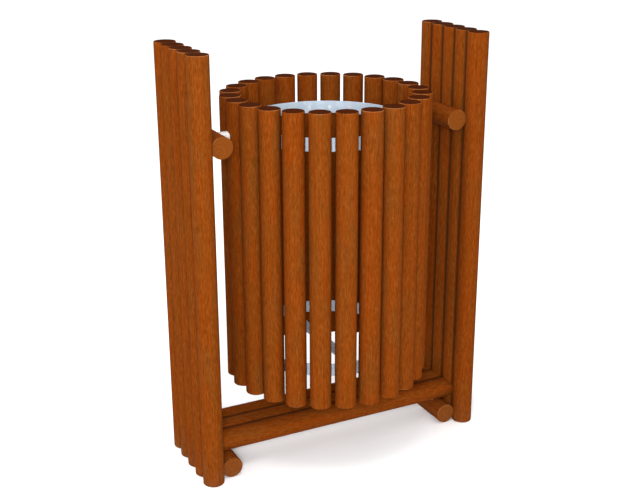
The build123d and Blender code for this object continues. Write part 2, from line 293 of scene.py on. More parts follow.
@dataclass(frozen=True)
class Effect:
    """A shader node group with named inputs and outputs, for effects that materials share.

    Attributes:
        name: The group's name.
        inputs: Input names with their kind and default.
        outputs: Output names, all plain values.
    """

    name: str
    inputs: dict[str, tuple[str, object]]
    outputs: tuple[str, ...]

    def start(self) -> tuple[Bench, dict[str, Socket], bpy.types.Node]:
        """Make the empty group.

        Returns:
            The bench to work on, the group's inputs by name, and its output node.
        """
        tree = bpy.data.node_groups.new(self.name, "ShaderNodeTree")
        for name, (kind, default) in self.inputs.items():
            socket = tree.interface.new_socket(name, in_out="INPUT", socket_type=kind)
            if default is not None:
                socket.default_value = default
        for name in self.outputs:
            tree.interface.new_socket(name, in_out="OUTPUT", socket_type="NodeSocketFloat")
        entry = tree.nodes.new("NodeGroupInput")
        end = tree.nodes.new("NodeGroupOutput")
        return Bench(tree), {socket.name: socket for socket in entry.outputs}, end


def use_effect(bench: Bench, group: bpy.types.NodeTree, **inputs: object) -> dict[str, Socket]:
    """Place a finished group in a material.

    Args:
        bench: The material's bench.
        group: The group to place.
        inputs: Values or sockets for its inputs.

    Returns:
        The group's outputs by name.
    """
    node = bench.tree.nodes.new("ShaderNodeGroup")
    node.node_tree = group
    for name, value in inputs.items():
        bench.feed(node.inputs[name.replace("_", " ")], value)
    return {socket.name: socket for socket in node.outputs}


@dataclass(frozen=True)
class Figure:
    """A noise pattern drawn out along the bar.

    Attributes:
        along: How fine it is along the bar, as a share of its fineness across.
        scale: How many patches lie in a metre across the bar, roughly.
        detail: How many times finer patches are added.
        rough: How much each finer layer counts against the last.
    """

    along: float
    scale: float
    detail: float
    rough: float = 0.5

    def lay(self, bench: Bench, place: Socket) -> Socket:
        """Lay the pattern.

        Args:
            bench: The bench to work on.
            place: Place in the log, with the way along it last.

        Returns:
            The pattern's socket.
        """
        drawn = bench.vector("MULTIPLY", place, (1.0, 1.0, self.along))
        return bench.noise(drawn, self.scale, self.detail, self.rough)


FIBRES = Figure(along=0.022, scale=1500.0, detail=3.0, rough=0.62)
FLECKS = Figure(along=0.17, scale=400.0, detail=3.0, rough=0.6)
STREAKS = Figure(along=0.06, scale=130.0, detail=4.0, rough=0.6)
MOTTLE = Figure(along=0.28, scale=26.0, detail=3.0)
PORES = Figure(along=0.07, scale=1150.0, detail=2.0)
CHECKS = Figure(along=0.012, scale=120.0, detail=1.0)
CHECKED_PATCHES = Figure(along=0.28, scale=60.0, detail=0.0)


def grain_effect() -> bpy.types.NodeTree:
    """Build the solid grain of round timber, cut wherever the surface happens to be.

    The growth rings are circles round the pith, whose radius wanders slowly along the bar:
    a ring's phase is the wandering radius divided by the gap between rings. Fibres, streaks
    and pores are noise drawn out along the bar, and a check is a thin line where such a
    noise passes its middle value.

    Returns:
        The finished group.
    """
    effect = Effect(
        "round_timber_grain",
        {
            "Place": ("NodeSocketVector", None),
            "Ring Gap": ("NodeSocketFloat", 0.0028),
            "Wander": ("NodeSocketFloat", 0.011),
        },
        ("Rings", "Fibres", "Flecks", "Streaks", "Mottle", "Pores", "Checks"),
    )
    bench, given, end = effect.start()
    place = given["Place"]
    wandered = wander(bench, place, given["Wander"])
    bench.feed(end.inputs["Rings"], growth_rings(bench, wandered, given["Ring Gap"]))
    bench.feed(end.inputs["Fibres"], FIBRES.lay(bench, wandered))
    bench.feed(end.inputs["Flecks"], FLECKS.lay(bench, wandered))
    bench.feed(end.inputs["Streaks"], STREAKS.lay(bench, wandered))
    bench.feed(end.inputs["Mottle"], MOTTLE.lay(bench, place))
    bench.feed(end.inputs["Pores"], bench.spread(PORES.lay(bench, place), 0.62, 0.74))
    fine = bench.thin_lines(CHECKS.lay(bench, wandered), 0.006)
    rare = bench.spread(CHECKED_PATCHES.lay(bench, place), 0.6, 0.7)
    bench.feed(end.inputs["Checks"], bench.math("MULTIPLY", fine, rare))
    return bench.tree


def wander(bench: Bench, place: Socket, reach: Socket) -> Socket:
    """Let a place in the log drift slowly along it, as a grown trunk does.

    Args:
        bench: The bench to work on.
        place: The straight place.
        reach: Twice the farthest that it can drift.

    Returns:
        The drifting place.
    """
    slow = bench.vector("MULTIPLY", place, (1.0, 1.0, 0.14))
    cloud = bench.add("ShaderNodeTexNoise", Vector=slow, Scale=16.0, Detail=3.0)
    drift = bench.add("ShaderNodeVectorMath")
    drift.operation = "SCALE"
    centred = bench.vector("SUBTRACT", cloud.outputs["Color"], (0.5, 0.5, 0.5))
    bench.feed(drift.inputs[0], centred)
    bench.feed(drift.inputs["Scale"], reach)
    return bench.vector("ADD", place, drift.outputs[0])


def growth_rings(bench: Bench, place: Socket, gap: Socket) -> Socket:
    """Draw the rings, each as dark as its own year left it.

    Across a ring the tone is a half less half the cosine of its phase, to a power that
    keeps the late wood narrow. A year's strength is between 0.4 and 1.

    Args:
        bench: The bench to work on.
        place: Place in the log, with the way along it last.
        gap: Distance between rings.

    Returns:
        The rings' socket, 1 in the late wood of a strong year.
    """
    late_wood_power = 2.2
    across = bench.vector("MULTIPLY", place, (1.0, 1.0, 0.0))
    phase = bench.math("DIVIDE", bench.vector("LENGTH", across), gap)
    wave = bench.math("COSINE", bench.math("MULTIPLY", phase, FULL_TURN))
    late = bench.math("POWER", bench.math("MULTIPLY_ADD", wave, -0.5, 0.5), late_wood_power)
    year = bench.add("ShaderNodeTexWhiteNoise")
    year.noise_dimensions = "1D"
    bench.feed(year.inputs["W"], bench.math("FLOOR", phase))
    strength = bench.math("MULTIPLY_ADD", year.outputs["Value"], 0.6, 0.4)
    return bench.math("MULTIPLY", late, strength)


def weather_effect() -> bpy.types.NodeTree:
    """Build the mask of outdoor dirt: rain splash near the ground, and dust in patches.

    Splash fades with height and is broken up by noise; dust lies on what faces up.

    Returns:
        The finished group.
    """
    effect = Effect(
        "outdoor_weather",
        {
            "Where": ("NodeSocketVector", None),
            "Facing": ("NodeSocketVector", None),
            "Splash Height": ("NodeSocketFloat", 0.09),
        },
        ("Splash", "Dust"),
    )
    bench, given, end = effect.start()
    splash_fade = 1.5
    where = bench.add("ShaderNodeSeparateXYZ", Vector=given["Where"])
    rise = bench.math("DIVIDE", where.outputs["Z"], given["Splash Height"])
    low = bench.math("POWER", bench.math("SUBTRACT", 1.0, rise, clamp=True), splash_fade)
    speckle = bench.noise(given["Where"], scale=70.0, detail=5.0, rough=0.65)
    spots = bench.spread(speckle, 0.35, 0.7)
    bench.feed(end.inputs["Splash"], bench.math("MULTIPLY", low, spots))
    facing = bench.add("ShaderNodeSeparateXYZ", Vector=given["Facing"])
    flat = bench.spread(facing.outputs["Z"], 0.35, 1.0)
    drifts = bench.noise(given["Where"], scale=30.0, detail=4.0, rough=0.6)
    patches = bench.spread(drifts, 0.3, 0.75)
    bench.feed(end.inputs["Dust"], bench.math("MULTIPLY", flat, patches))
    return bench.tree


def metal_effect() -> bpy.types.NodeTree:
    """Build the tone and the scratches that the steel finishes share.

    Tone is cell-like spangle under slow clouds; scratches are thin lines where a stretched
    noise passes its middle value.

    Returns:
        The finished group.
    """
    effect = Effect(
        "steel_tone",
        {
            "Where": ("NodeSocketVector", None),
            "Spangle Scale": ("NodeSocketFloat", 90.0),
        },
        ("Tone", "Scratches", "Speckle"),
    )
    bench, given, end = effect.start()
    where = given["Where"]
    cells = bench.add("ShaderNodeTexVoronoi", Vector=where, Scale=given["Spangle Scale"])
    cell = bench.add("ShaderNodeSeparateXYZ", Vector=cells.outputs["Color"])
    clouds = bench.noise(where, scale=12.0, detail=4.0, rough=0.6)
    cell_share = 0.55
    tone = bench.math("MULTIPLY", clouds, 1 - cell_share)
    tone = bench.math("MULTIPLY_ADD", cell.outputs["X"], cell_share, tone)
    bench.feed(end.inputs["Tone"], tone)
    long_way = bench.vector("MULTIPLY", where, (0.3, 0.3, 3.0))
    scratches = bench.thin_lines(bench.noise(long_way, scale=160.0, detail=2.0), 0.012)
    bench.feed(end.inputs["Scratches"], scratches)
    bench.feed(end.inputs["Speckle"], bench.noise(where, scale=900.0, detail=3.0))
    return bench.tree


# ---------------------------------------------------------------- finishes


class Finish(Protocol):
    """Anything that can make a material."""

    def make(self, effects: "Effects") -> bpy.types.Material:
        """Build the material.

        Args:
            effects: The shared node groups.

        Returns:
            The material.
        """


@dataclass
class Effects:
    """The shared node groups, built once.

    Attributes:
        grain: Grain of round timber.
        weather: Rain splash and dust.
        metal: Tone and scratches of steel.
    """

    grain: bpy.types.NodeTree = field(default_factory=grain_effect)
    weather: bpy.types.NodeTree = field(default_factory=weather_effect)
    metal: bpy.types.NodeTree = field(default_factory=metal_effect)


def start_material(name: str) -> tuple[bpy.types.Material, Bench, bpy.types.Node]:
    """Make a material with nothing but its surface shader.

    Args:
        name: The material's name.

    Returns:
        The material, its bench and its surface shader node.
    """
    material = bpy.data.materials.new(name)
    material.use_nodes = True
    bench = Bench(material.node_tree)
    bench.tree.nodes.clear()
    surface = bench.tree.nodes.new("ShaderNodeBsdfPrincipled")
    output = bench.tree.nodes.new("ShaderNodeOutputMaterial")
    bench.tree.links.new(surface.outputs[0], output.inputs[0])
    return material, bench, surface


def read_attribute(bench: Bench, name: str, output: str) -> Socket:
    """Read what the mesh's points know.

    Args:
        bench: The material's bench.
        name: The attribute's name.
        output: Fac for a value and Vector for a place.

    Returns:
        The attribute's socket.
    """
    node = bench.tree.nodes.new("ShaderNodeAttribute")
    node.attribute_name = name
    return node.outputs[output]


@dataclass(frozen=True)
class StainedWood:
    """Round softwood under a brown wood stain.

    Each share says how much a layer hides of what is under it.

    Attributes:
        name: The material's name.
        body: Main tone of the stain.
        warm: Redder tone of the streaks.
        tan: Yellower tone of the mottling.
        deep: Tone where the stain gathers in rings and pores.
        light: Tone of the flecks that took less stain.
        end_body: Tone of the end faces. Its dark default is partly end grain taking up more stain
            and partly painted shade of the upright bars' top faces.
        ring_gap: Distance between growth rings.
        mottle_share: Share of the mottling.
        fleck_shares: Shares of the light and of the dark flecks.
        ring_share: Share of the rings on the bar's side.
        fibre_share: Share of the fibres.
        pore_share: Share of the pores.
        check_share: Share of the drying checks.
        end_ring_share: Share of the rings on an end face.
        worn_share: Share of the worn edges.
        gap_shade_share: Share of the painted shade in narrow gaps between bars.
        splash_share: Share of the rain splash.
        dust_shares: Shares of the dust on a side and on an end face.
        sheen: How much of a plain reflection is left.
    """

    name: str
    body: Chart = (104, 50, 9)
    warm: Chart = (114, 48, 6)
    tan: Chart = (96, 53, 16)
    deep: Chart = (75, 30, 2)
    light: Chart = (122, 64, 21)
    # Partly real stain uptake of end grain, partly painted shade of the uprights' top faces.
    end_body: Chart = (55, 20, 3)
    ring_gap: float = 0.0028
    mottle_share: float = 0.75
    fleck_shares: tuple[float, float] = (0.7, 0.55)
    ring_share: float = 0.2
    fibre_share: float = 0.42
    pore_share: float = 0.35
    check_share: float = 0.6
    end_ring_share: float = 0.9
    worn_share: float = 0.35
    gap_shade_share: float = 0.72
    splash_share: float = 0.28
    dust_shares: tuple[float, float] = (0.04, 0.01)
    sheen: float = 0.006

    def make(self, effects: Effects) -> bpy.types.Material:
        """Build the stained wood.

        Args:
            effects: The shared node groups.

        Returns:
            The material.
        """
        material, bench, surface = start_material(self.name)
        place = read_attribute(bench, PLACE, "Vector")
        grain = use_effect(bench, effects.grain, Place=place, Ring_Gap=self.ring_gap)
        ends = read_attribute(bench, END, "Fac")
        is_end = bench.spread(ends, 0.35, 0.9)

        colour = bench.mix(is_end, self.side_colour(bench, grain), self.end_colour(bench, grain))
        rim = bench.math("MULTIPLY", bench.spread(ends, 0.0, 0.3), bench.inverse(is_end))
        worn = bench.math("MULTIPLY", rim, bench.spread(grain["Mottle"], 0.4, 0.6))
        colour = bench.layer(colour, WORN_TONE, worn, self.worn_share)
        colour = self.shaded_and_weathered(bench, effects, colour, grain["Streaks"], is_end)
        bench.feed(surface.inputs["Base Color"], colour)

        rough = bench.math("MULTIPLY_ADD", grain["Fibres"], 0.22, 0.66)
        rough = bench.math("MULTIPLY_ADD", is_end, 0.16, rough)
        bench.feed(surface.inputs["Roughness"], rough)
        surface.inputs["Specular IOR Level"].default_value = self.sheen

        height = bench.math("MULTIPLY", grain["Rings"], 0.35)
        for figure, weight in (("Fibres", 0.8), ("Pores", -0.5), ("Checks", -2.5)):
            height = bench.math("MULTIPLY_ADD", grain[figure], weight, height)
        bench.relief(surface, height, strength=0.45, depth=0.0004)
        return material

    def side_colour(self, bench: Bench, grain: dict[str, Socket]) -> Socket:
        """Layer the tones of a bar's side.

        Args:
            bench: The material's bench.
            grain: The grain's patterns.

        Returns:
            The colour's socket.
        """
        light_share, dark_share = self.fleck_shares
        deep = stain(*self.deep)
        streaky = bench.spread(grain["Streaks"], 0.38, 0.66)
        mottled = bench.spread(grain["Mottle"], 0.45, 0.75)
        light_flecks = bench.spread(grain["Flecks"], 0.48, 0.66)
        dark_flecks = bench.inverse(bench.spread(grain["Flecks"], 0.3, 0.48))
        fibres = bench.spread(grain["Fibres"], 0.5, 0.75)
        colour = bench.mix(streaky, stain(*self.body), stain(*self.warm))
        colour = bench.layer(colour, stain(*self.tan), mottled, self.mottle_share)
        colour = bench.layer(colour, stain(*self.light), light_flecks, light_share)
        colour = bench.layer(colour, deep, dark_flecks, dark_share)
        colour = bench.layer(colour, deep, grain["Rings"], self.ring_share)
        colour = bench.layer(colour, deep, fibres, self.fibre_share)
        colour = bench.layer(colour, deep, grain["Pores"], self.pore_share)
        return bench.layer(colour, GAP_SHADE_AND_CHECK_TONE, grain["Checks"], self.check_share)

    def end_colour(self, bench: Bench, grain: dict[str, Socket]) -> Socket:
        """Layer the tones of an end face.

        Args:
            bench: The material's bench.
            grain: The grain's patterns.

        Returns:
            The colour's socket.
        """
        early = tinted(stain(*self.end_body), 1.3)
        late = tinted(stain(*self.end_body), 0.35)
        colour = bench.layer(early, late, grain["Rings"], self.end_ring_share)
        return bench.layer(colour, late, grain["Pores"], self.pore_share)

    def shaded_and_weathered(
        self, bench: Bench, effects: Effects, colour: Socket, streaks: Socket, is_end: Socket
    ) -> Socket:
        """Lay painted shade in narrow gaps, then rain splash and dust, over the wood.

        The painted shade lies where the gap to the next bar is narrow, and the streaks make its
        edge ragged.

        Args:
            bench: The material's bench.
            effects: The shared node groups.
            colour: The wood's colour.
            streaks: The grain's streaks.
            is_end: How far the surface belongs to an end face.

        Returns:
            The colour's socket.
        """
        coordinates = bench.tree.nodes.new("ShaderNodeTexCoord")
        weather = use_effect(
            bench,
            effects.weather,
            Where=coordinates.outputs["Object"],
            Facing=coordinates.outputs["Normal"],
        )
        ragged = bench.math("MULTIPLY_ADD", streaks, 0.6, -0.3)
        gaps = bench.math("ADD", read_attribute(bench, NARROW, "Fac"), ragged)
        # Painted shade: the wood is darkened where the gap to the next bar is narrow.
        colour = bench.layer(colour, GAP_SHADE_AND_CHECK_TONE, bench.spread(gaps, 0.15, 0.85), self.gap_shade_share)
        colour = bench.layer(colour, SPLASH_TONE, weather["Splash"], self.splash_share)
        side_share, end_share = self.dust_shares
        dust_share = bench.math("MULTIPLY_ADD", is_end, end_share - side_share, side_share)
        return bench.layer(colour, WOOD_DUST_TONE, weather["Dust"], dust_share)


@dataclass(frozen=True)
class Steel:
    """Bare or zinc-coated steel.

    Attributes:
        name: The material's name.
        light: Tone of the brightest spangle.
        dark: Tone of the darkest spangle.
        rough: Middle of the roughness.
        spangle_scale: How many spangle cells lie in a metre, roughly.
        metal: How metallic the coat is.
        scratch_share: How much a scratch shows the brightest tone.
        dust_share: How much the dust hides.
    """

    name: str
    light: Chart
    dark: Chart
    rough: float
    spangle_scale: float
    metal: float
    scratch_share: float = 0.18
    dust_share: float = 0.08

    def make(self, effects: Effects) -> bpy.types.Material:
        """Build the steel.

        Args:
            effects: The shared node groups.

        Returns:
            The material.
        """
        material, bench, surface = start_material(self.name)
        coordinates = bench.tree.nodes.new("ShaderNodeTexCoord")
        where = coordinates.outputs["Object"]
        facing = coordinates.outputs["Normal"]
        steel = use_effect(bench, effects.metal, Where=where, Spangle_Scale=self.spangle_scale)
        weather = use_effect(bench, effects.weather, Where=where, Facing=facing)

        light = stain(*self.light)
        dull = bench.math("MULTIPLY", weather["Dust"], self.dust_share)
        colour = bench.mix(steel["Tone"], stain(*self.dark), light)
        colour = bench.layer(colour, light, steel["Scratches"], self.scratch_share)
        colour = bench.mix(dull, colour, STEEL_DUST_TONE)
        bench.feed(surface.inputs["Base Color"], colour)
        surface.inputs["Metallic"].default_value = self.metal

        spangle_rough = 0.2
        smoothest = self.rough - spangle_rough / 2
        rough = bench.math("MULTIPLY_ADD", steel["Tone"], spangle_rough, smoothest)
        rough = bench.math("MULTIPLY_ADD", steel["Scratches"], -0.08, rough)
        rough = bench.math("MULTIPLY_ADD", dull, 0.5, rough)
        bench.feed(surface.inputs["Roughness"], rough)
        height = bench.math("MULTIPLY_ADD", steel["Scratches"], -0.6, steel["Speckle"])
        bench.relief(surface, height, strength=0.2, depth=0.0001)
        return material


@dataclass(frozen=True)
class Nylon:
    """Off-white cast nylon.

    Attributes:
        name: The material's name.
        fresh: Tone of the plastic.
        soiled: Tone where grease has marked it.
        mark_scale: How many marks lie in a metre, roughly.
    """

    name: str = "cast_nylon"
    fresh: Chart = (226, 221, 204)
    soiled: Chart = (186, 176, 150)
    mark_scale: float = 400.0

    def make(self, effects: Effects) -> bpy.types.Material:
        """Build the nylon.

        Args:
            effects: The shared node groups.

        Returns:
            The material.
        """
        material, bench, surface = start_material(self.name)
        where = bench.tree.nodes.new("ShaderNodeTexCoord").outputs["Object"]
        marks = use_effect(bench, effects.metal, Where=where, Spangle_Scale=self.mark_scale)
        colour = bench.mix(marks["Tone"], stain(*self.fresh), stain(*self.soiled))
        bench.feed(surface.inputs["Base Color"], colour)
        rough = bench.math("MULTIPLY_ADD", marks["Tone"], 0.15, 0.45)
        bench.feed(surface.inputs["Roughness"], rough)
        bench.relief(surface, marks["Speckle"], strength=0.15, depth=0.0001)
        return material


@dataclass(frozen=True)
class PaleFloor:
    """Plain pale studio floor with the faintest mottling.

    Attributes:
        name: The material's name.
        light: Brighter tone.
        dark: Dimmer tone.
        rough: Its roughness.
        sheen: How much of a plain reflection is left.
    """

    name: str = "pale_floor"
    light: Chart = (253, 253, 253)
    dark: Chart = (250, 250, 250)
    rough: float = 0.9
    sheen: float = 0.1

    def make(self, effects: Effects) -> bpy.types.Material:
        """Build the floor's material.

        Args:
            effects: The shared node groups, of which it uses none.

        Returns:
            The material.
        """
        material, bench, surface = start_material(self.name)
        where = bench.tree.nodes.new("ShaderNodeTexCoord").outputs["Object"]
        clouds = bench.noise(where, scale=3.0, detail=3.0)
        colour = bench.mix(clouds, stain(*self.dark), stain(*self.light))
        bench.feed(surface.inputs["Base Color"], colour)
        surface.inputs["Roughness"].default_value = self.rough
        surface.inputs["Specular IOR Level"].default_value = self.sheen
        return material


# ---------------------------------------------------------------- round bars


# Edges that turn by more than this stay sharp.
SHARP_ANGLE = math.radians(38)
# Length of the logs that the bars are turned from, each at a place of its own.
LOG_LENGTH = 5.0
# Distances too small to matter: between two rings of points, and from a middle line.
HAIR = 1e-7
NOTHING = 1e-9


class Lie(Enum):
    """How a bar lies: the two axes across it, then the axis along it."""

    UPRIGHT = (0, 1, 2)
    LEFT_TO_RIGHT = (1, 2, 0)
    FRONT_TO_REAR = (2, 0, 1)


@dataclass(frozen=True)
class Measure:
    """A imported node's box at rest, as arrays.

    Attributes:
        low: Lowest corner.
        high: Highest corner.
    """

    low: Array
    high: Array

    @classmethod
    def of(cls, node: str) -> "Measure":
        """Measure a node.

        Args:
            node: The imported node's name.

        Returns:
            Its lowest and highest corners.
        """
        low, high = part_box(node)
        return cls(np.array(low), np.array(high))

    @property
    def middle(self) -> Array:
        """Return the box's centre."""
        return (self.low + self.high) / 2

    @property
    def size(self) -> Array:
        """Return the box's sides."""
        return self.high - self.low


@dataclass(frozen=True)
class Pocket:
    """A stepped round pocket sunk straight into a bar's side.

    Attributes:
        centre: A point on the pocket's middle line.
        facing: Unit vector out of its mouth.
        steps: Each step's radius and its floor's distance from the bar's middle line,
            measured towards the mouth. The widest comes first.
        wall: How far a wall's inner ring lies inside its outer one.
        lip: Width of the ring of the bar's own surface next to the mouth.
        apron: Reach of the reshaped surface round the mouth, in radii of the mouth.
        floor_shares: Where a floor's rings lie between its inner and its outer edge.
    """

    centre: Array
    facing: Array
    steps: tuple[tuple[float, float], ...]
    wall: float = 0.00005
    lip: float = 0.0004
    apron: float = 1.3
    floor_shares: tuple[float, ...] = (1 / 3, 2 / 3, 1.0)

    def rings(self) -> tuple[Array, Array]:
        """Work out the rings round the middle line, from the centre outwards.

        Each floor has its own few rings, and a wall is two rings a hair apart, the inner
        one on the lower floor. Past the mouth come a lip and an apron on the bar's own
        surface.

        Returns:
            Radii, and floor heights, which are not a number on the bar's own surface.
        """
        radii, floors = [], []
        inside = 0.0
        for radius, floor in reversed(self.steps):
            shares = np.array(self.floor_shares)
            edge = radius - self.wall
            radii.extend(inside + (edge - inside) * shares)
            floors.extend([floor] * len(shares))
            inside = radius
            radii.append(radius)
            floors.append(self.floor_over(radius))
        mouth = self.steps[0][0]
        floors[-1] = math.nan
        outside = [mouth + self.lip, mouth * (1 + self.apron) / 2, mouth * self.apron]
        radii.extend(outside)
        floors.extend([math.nan] * len(outside))
        return np.array(radii), np.array(floors)

    def floor_over(self, radius: float) -> float:
        """Find the floor just outside a step.

        Args:
            radius: The step's radius.

        Returns:
            That floor's height, or not a number past the mouth.
        """
        wider = [floor for reach, floor in self.steps if reach > radius]
        return wider[-1] if wider else math.nan


class Press(Protocol):
    """Something that reshapes a bar's surface."""

    def shape(self, points: Array) -> Array:
        """Move the points that the press reaches.

        Args:
            points: Points with their coordinates last.

        Returns:
            The moved points.
        """


@dataclass(frozen=True)
class RoundSeat:
    """A seat scooped by a round bar that lies across.

    A point closer to the other bar's middle line than its radius is moved along one axis
    onto the other bar's surface.

    Attributes:
        centre: A point on the other bar's middle line.
        along: Axis that the other bar runs along.
        push: Axis that points are moved along.
        radius: The seat's radius.
    """

    centre: Array
    along: int
    push: int
    radius: float

    def shape(self, points: Array) -> Array:
        """Move the points that the seat reaches.

        Args:
            points: Points with their coordinates last.

        Returns:
            The moved points.
        """
        aside = ({0, 1, 2} - {self.along, self.push}).pop()
        offset = points - self.centre
        half_chord = np.sqrt(np.clip(self.radius**2 - offset[..., aside] ** 2, 0, None))
        inside = np.abs(offset[..., self.push]) < half_chord
        seated = self.centre[self.push] + np.sign(offset[..., self.push]) * half_chord
        moved = points.copy()
        moved[..., self.push] = np.where(inside, seated, points[..., self.push])
        return moved


@dataclass(frozen=True)
class HoopSeat:
    """A shallow seat that lets a hoop lie against an upright bar.

    Points nearer to the Z axis than the seat's radius, in the hoop's band of heights, are
    moved straight out to it.

    Attributes:
        radius: The seat's radius round the Z axis.
        low: Lower edge of the band.
        high: Upper edge of the band.
    """

    radius: float
    low: float
    high: float

    def shape(self, points: Array) -> Array:
        """Move the points that the seat reaches.

        Args:
            points: Points with their coordinates last.

        Returns:
            The moved points.
        """
        reach = np.hypot(points[..., 0], points[..., 1])
        height = points[..., 2]
        inside = (reach < self.radius) & (height > self.low) & (height < self.high)
        factor = np.where(inside, self.radius / reach, 1.0)
        moved = points.copy()
        moved[..., :2] = points[..., :2] * factor[..., None]
        return moved


@dataclass(frozen=True)
class ScribedEnds:
    """Both ends of a bar cut to fit round upright posts.

    At an offset a from the post's middle line, the end stands at the post's x less the
    square root of the seat's radius squared less a squared, or at the bar's own end if
    that comes first. The last stretch of the bar is squeezed evenly to meet it.

    Attributes:
        post_x: The right post's x. The left one mirrors it.
        post_y: Both posts' y.
        radius: The seat's radius.
        raw_end: The bar's own end.
        stretch: Length of the stretch that is squeezed.
    """

    post_x: float
    post_y: float
    radius: float
    raw_end: float
    stretch: float = 0.05

    def shape(self, points: Array) -> Array:
        """Move the points of the last stretch at each end.

        Args:
            points: Points with their coordinates last.

        Returns:
            The moved points.
        """
        offset = points[..., 1] - self.post_y
        half_chord = np.sqrt(np.clip(self.radius**2 - offset**2, 0, None))
        end = np.minimum(self.post_x - half_chord, self.raw_end)
        inner = self.raw_end - self.stretch
        reach = np.abs(points[..., 0])
        share = np.clip((reach - inner) / self.stretch, 0, 1)
        squeezed = inner + (end - inner) * share
        moved = points.copy()
        moved[..., 0] = np.sign(points[..., 0]) * np.where(share > 0, squeezed, reach)
        return moved


def turned_from(angles: Array, start: object) -> Array:
    """Measure how far angles are turned from others, the short way round.

    Args:
        angles: The angles.
        start: One angle or more that they are measured from.

    Returns:
        Turns between minus a half and a half of a full turn.
    """
    return np.angle(np.exp(1j * (angles - start)))


@dataclass
class RoundBar:
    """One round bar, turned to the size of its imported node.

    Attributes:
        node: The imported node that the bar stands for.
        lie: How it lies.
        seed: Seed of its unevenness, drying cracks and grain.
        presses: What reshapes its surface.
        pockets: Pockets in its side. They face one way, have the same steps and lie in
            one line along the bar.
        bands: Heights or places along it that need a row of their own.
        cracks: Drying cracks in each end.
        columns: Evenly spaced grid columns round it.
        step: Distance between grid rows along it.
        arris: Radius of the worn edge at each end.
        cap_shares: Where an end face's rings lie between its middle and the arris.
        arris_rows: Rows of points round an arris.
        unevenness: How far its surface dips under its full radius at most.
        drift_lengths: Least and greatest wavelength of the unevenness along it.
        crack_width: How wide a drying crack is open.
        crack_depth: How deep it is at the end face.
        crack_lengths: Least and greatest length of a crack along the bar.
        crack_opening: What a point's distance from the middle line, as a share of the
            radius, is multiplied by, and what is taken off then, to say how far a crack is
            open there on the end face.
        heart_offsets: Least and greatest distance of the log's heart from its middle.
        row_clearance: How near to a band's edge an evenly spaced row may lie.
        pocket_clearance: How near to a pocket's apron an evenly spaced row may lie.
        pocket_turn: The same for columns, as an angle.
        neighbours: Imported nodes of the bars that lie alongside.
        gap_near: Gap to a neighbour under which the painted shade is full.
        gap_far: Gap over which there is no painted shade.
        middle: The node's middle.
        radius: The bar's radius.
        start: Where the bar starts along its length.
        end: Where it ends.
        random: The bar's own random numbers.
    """

    node: str
    lie: Lie
    seed: int
    presses: list[Press] = field(default_factory=list)
    pockets: list[Pocket] = field(default_factory=list)
    bands: tuple[float, ...] = ()
    cracks: int = 3
    columns: int = 64
    step: float = 0.009
    arris: float = 0.0018
    cap_shares: tuple[float, ...] = (0.1, 0.28, 0.46, 0.64, 0.82, 0.92)
    arris_rows: int = 5
    unevenness: float = 0.00035
    drift_lengths: tuple[float, float] = (0.25, 0.9)
    crack_width: float = 0.0007
    crack_depth: float = 0.0022
    crack_lengths: tuple[float, float] = (0.012, 0.07)
    crack_opening: tuple[float, float] = (1.4, 0.3)
    heart_offsets: tuple[float, float] = (0.006, 0.018)
    row_clearance: float = 0.0015
    pocket_clearance: float = 0.001
    pocket_turn: float = 0.02
    neighbours: tuple[str, ...] = ()
    gap_near: float = 0.0065
    gap_far: float = 0.0127

    def __post_init__(self) -> None:
        """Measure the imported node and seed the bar's own random numbers."""
        self.across_a, self.across_b, self.along = self.lie.value
        measure = Measure.of(self.node)
        self.middle = measure.middle
        self.radius = float(measure.size[[self.across_a, self.across_b]].min() / 2)
        self.start = float(measure.low[self.along])
        self.end = float(measure.high[self.along])
        self.random = np.random.default_rng(self.seed)

    def pocket_angle(self) -> float:
        """Return the angle round the bar that its pockets face."""
        facing = self.pockets[0].facing
        return math.atan2(facing[self.across_b], facing[self.across_a])

    def pocket_offsets(self, pocket: Pocket) -> tuple[float, float]:
        """Find where a pocket's middle line passes.

        Args:
            pocket: The pocket.

        Returns:
            Its offset across the mouth from the bar's middle line, and its place along.
        """
        offset = pocket.centre - self.middle
        angle = self.pocket_angle()
        aside = offset[self.across_b] * math.cos(angle) - offset[self.across_a] * math.sin(angle)
        return float(aside), float(pocket.centre[self.along])

    def draw_cracks(self) -> tuple[Array, Array, Array]:
        """Choose the drying cracks, half at each end, and none on the pockets' side.

        Returns:
            Their angles round the bar, lengths along it, and which end (0 or 1) each is in.
        """
        count = 2 * self.cracks
        angles = self.random.uniform(0, FULL_TURN, count)
        lengths = self.random.uniform(*self.crack_lengths, count)
        which = np.arange(count) % 2
        if self.pockets:
            keep = np.abs(turned_from(angles, self.pocket_angle())) > math.pi / 2
            return angles[keep], lengths[keep], which[keep]
        return angles, lengths, which

    def columns_round(self, crack_angles: Array) -> Array:
        """Place the grid's columns.

        They are evenly spaced, with three more at each crack. Where pockets lie, one
        through each ring of a pocket on either side replaces them.

        Args:
            crack_angles: Angles of the drying cracks.

        Returns:
            Sorted angles from 0 to a full turn.
        """
        angles = np.arange(self.columns) * FULL_TURN / self.columns
        half = self.crack_width / 2 / self.radius
        close = np.concatenate([crack_angles - half, crack_angles, crack_angles + half])
        far = np.abs(turned_from(angles[:, None], crack_angles[None, :]))
        if len(crack_angles):
            angles = angles[far.min(axis=1) > 2 * half]
        angles = np.concatenate([angles, close])
        if self.pockets:
            radii, _ = self.pockets[0].rings()
            aside, _ = self.pocket_offsets(self.pockets[0])
            lines = np.concatenate([-radii[::-1], [0.0], radii]) + aside
            steepest = 0.999
            window = np.arcsin(np.clip(lines / self.radius, -steepest, steepest))
            turned = turned_from(angles, self.pocket_angle())
            before = turned < window[0] - self.pocket_turn
            after = turned > window[-1] + self.pocket_turn
            angles = np.concatenate([angles[before | after], window + self.pocket_angle()])
        return np.sort(np.mod(angles, FULL_TURN))

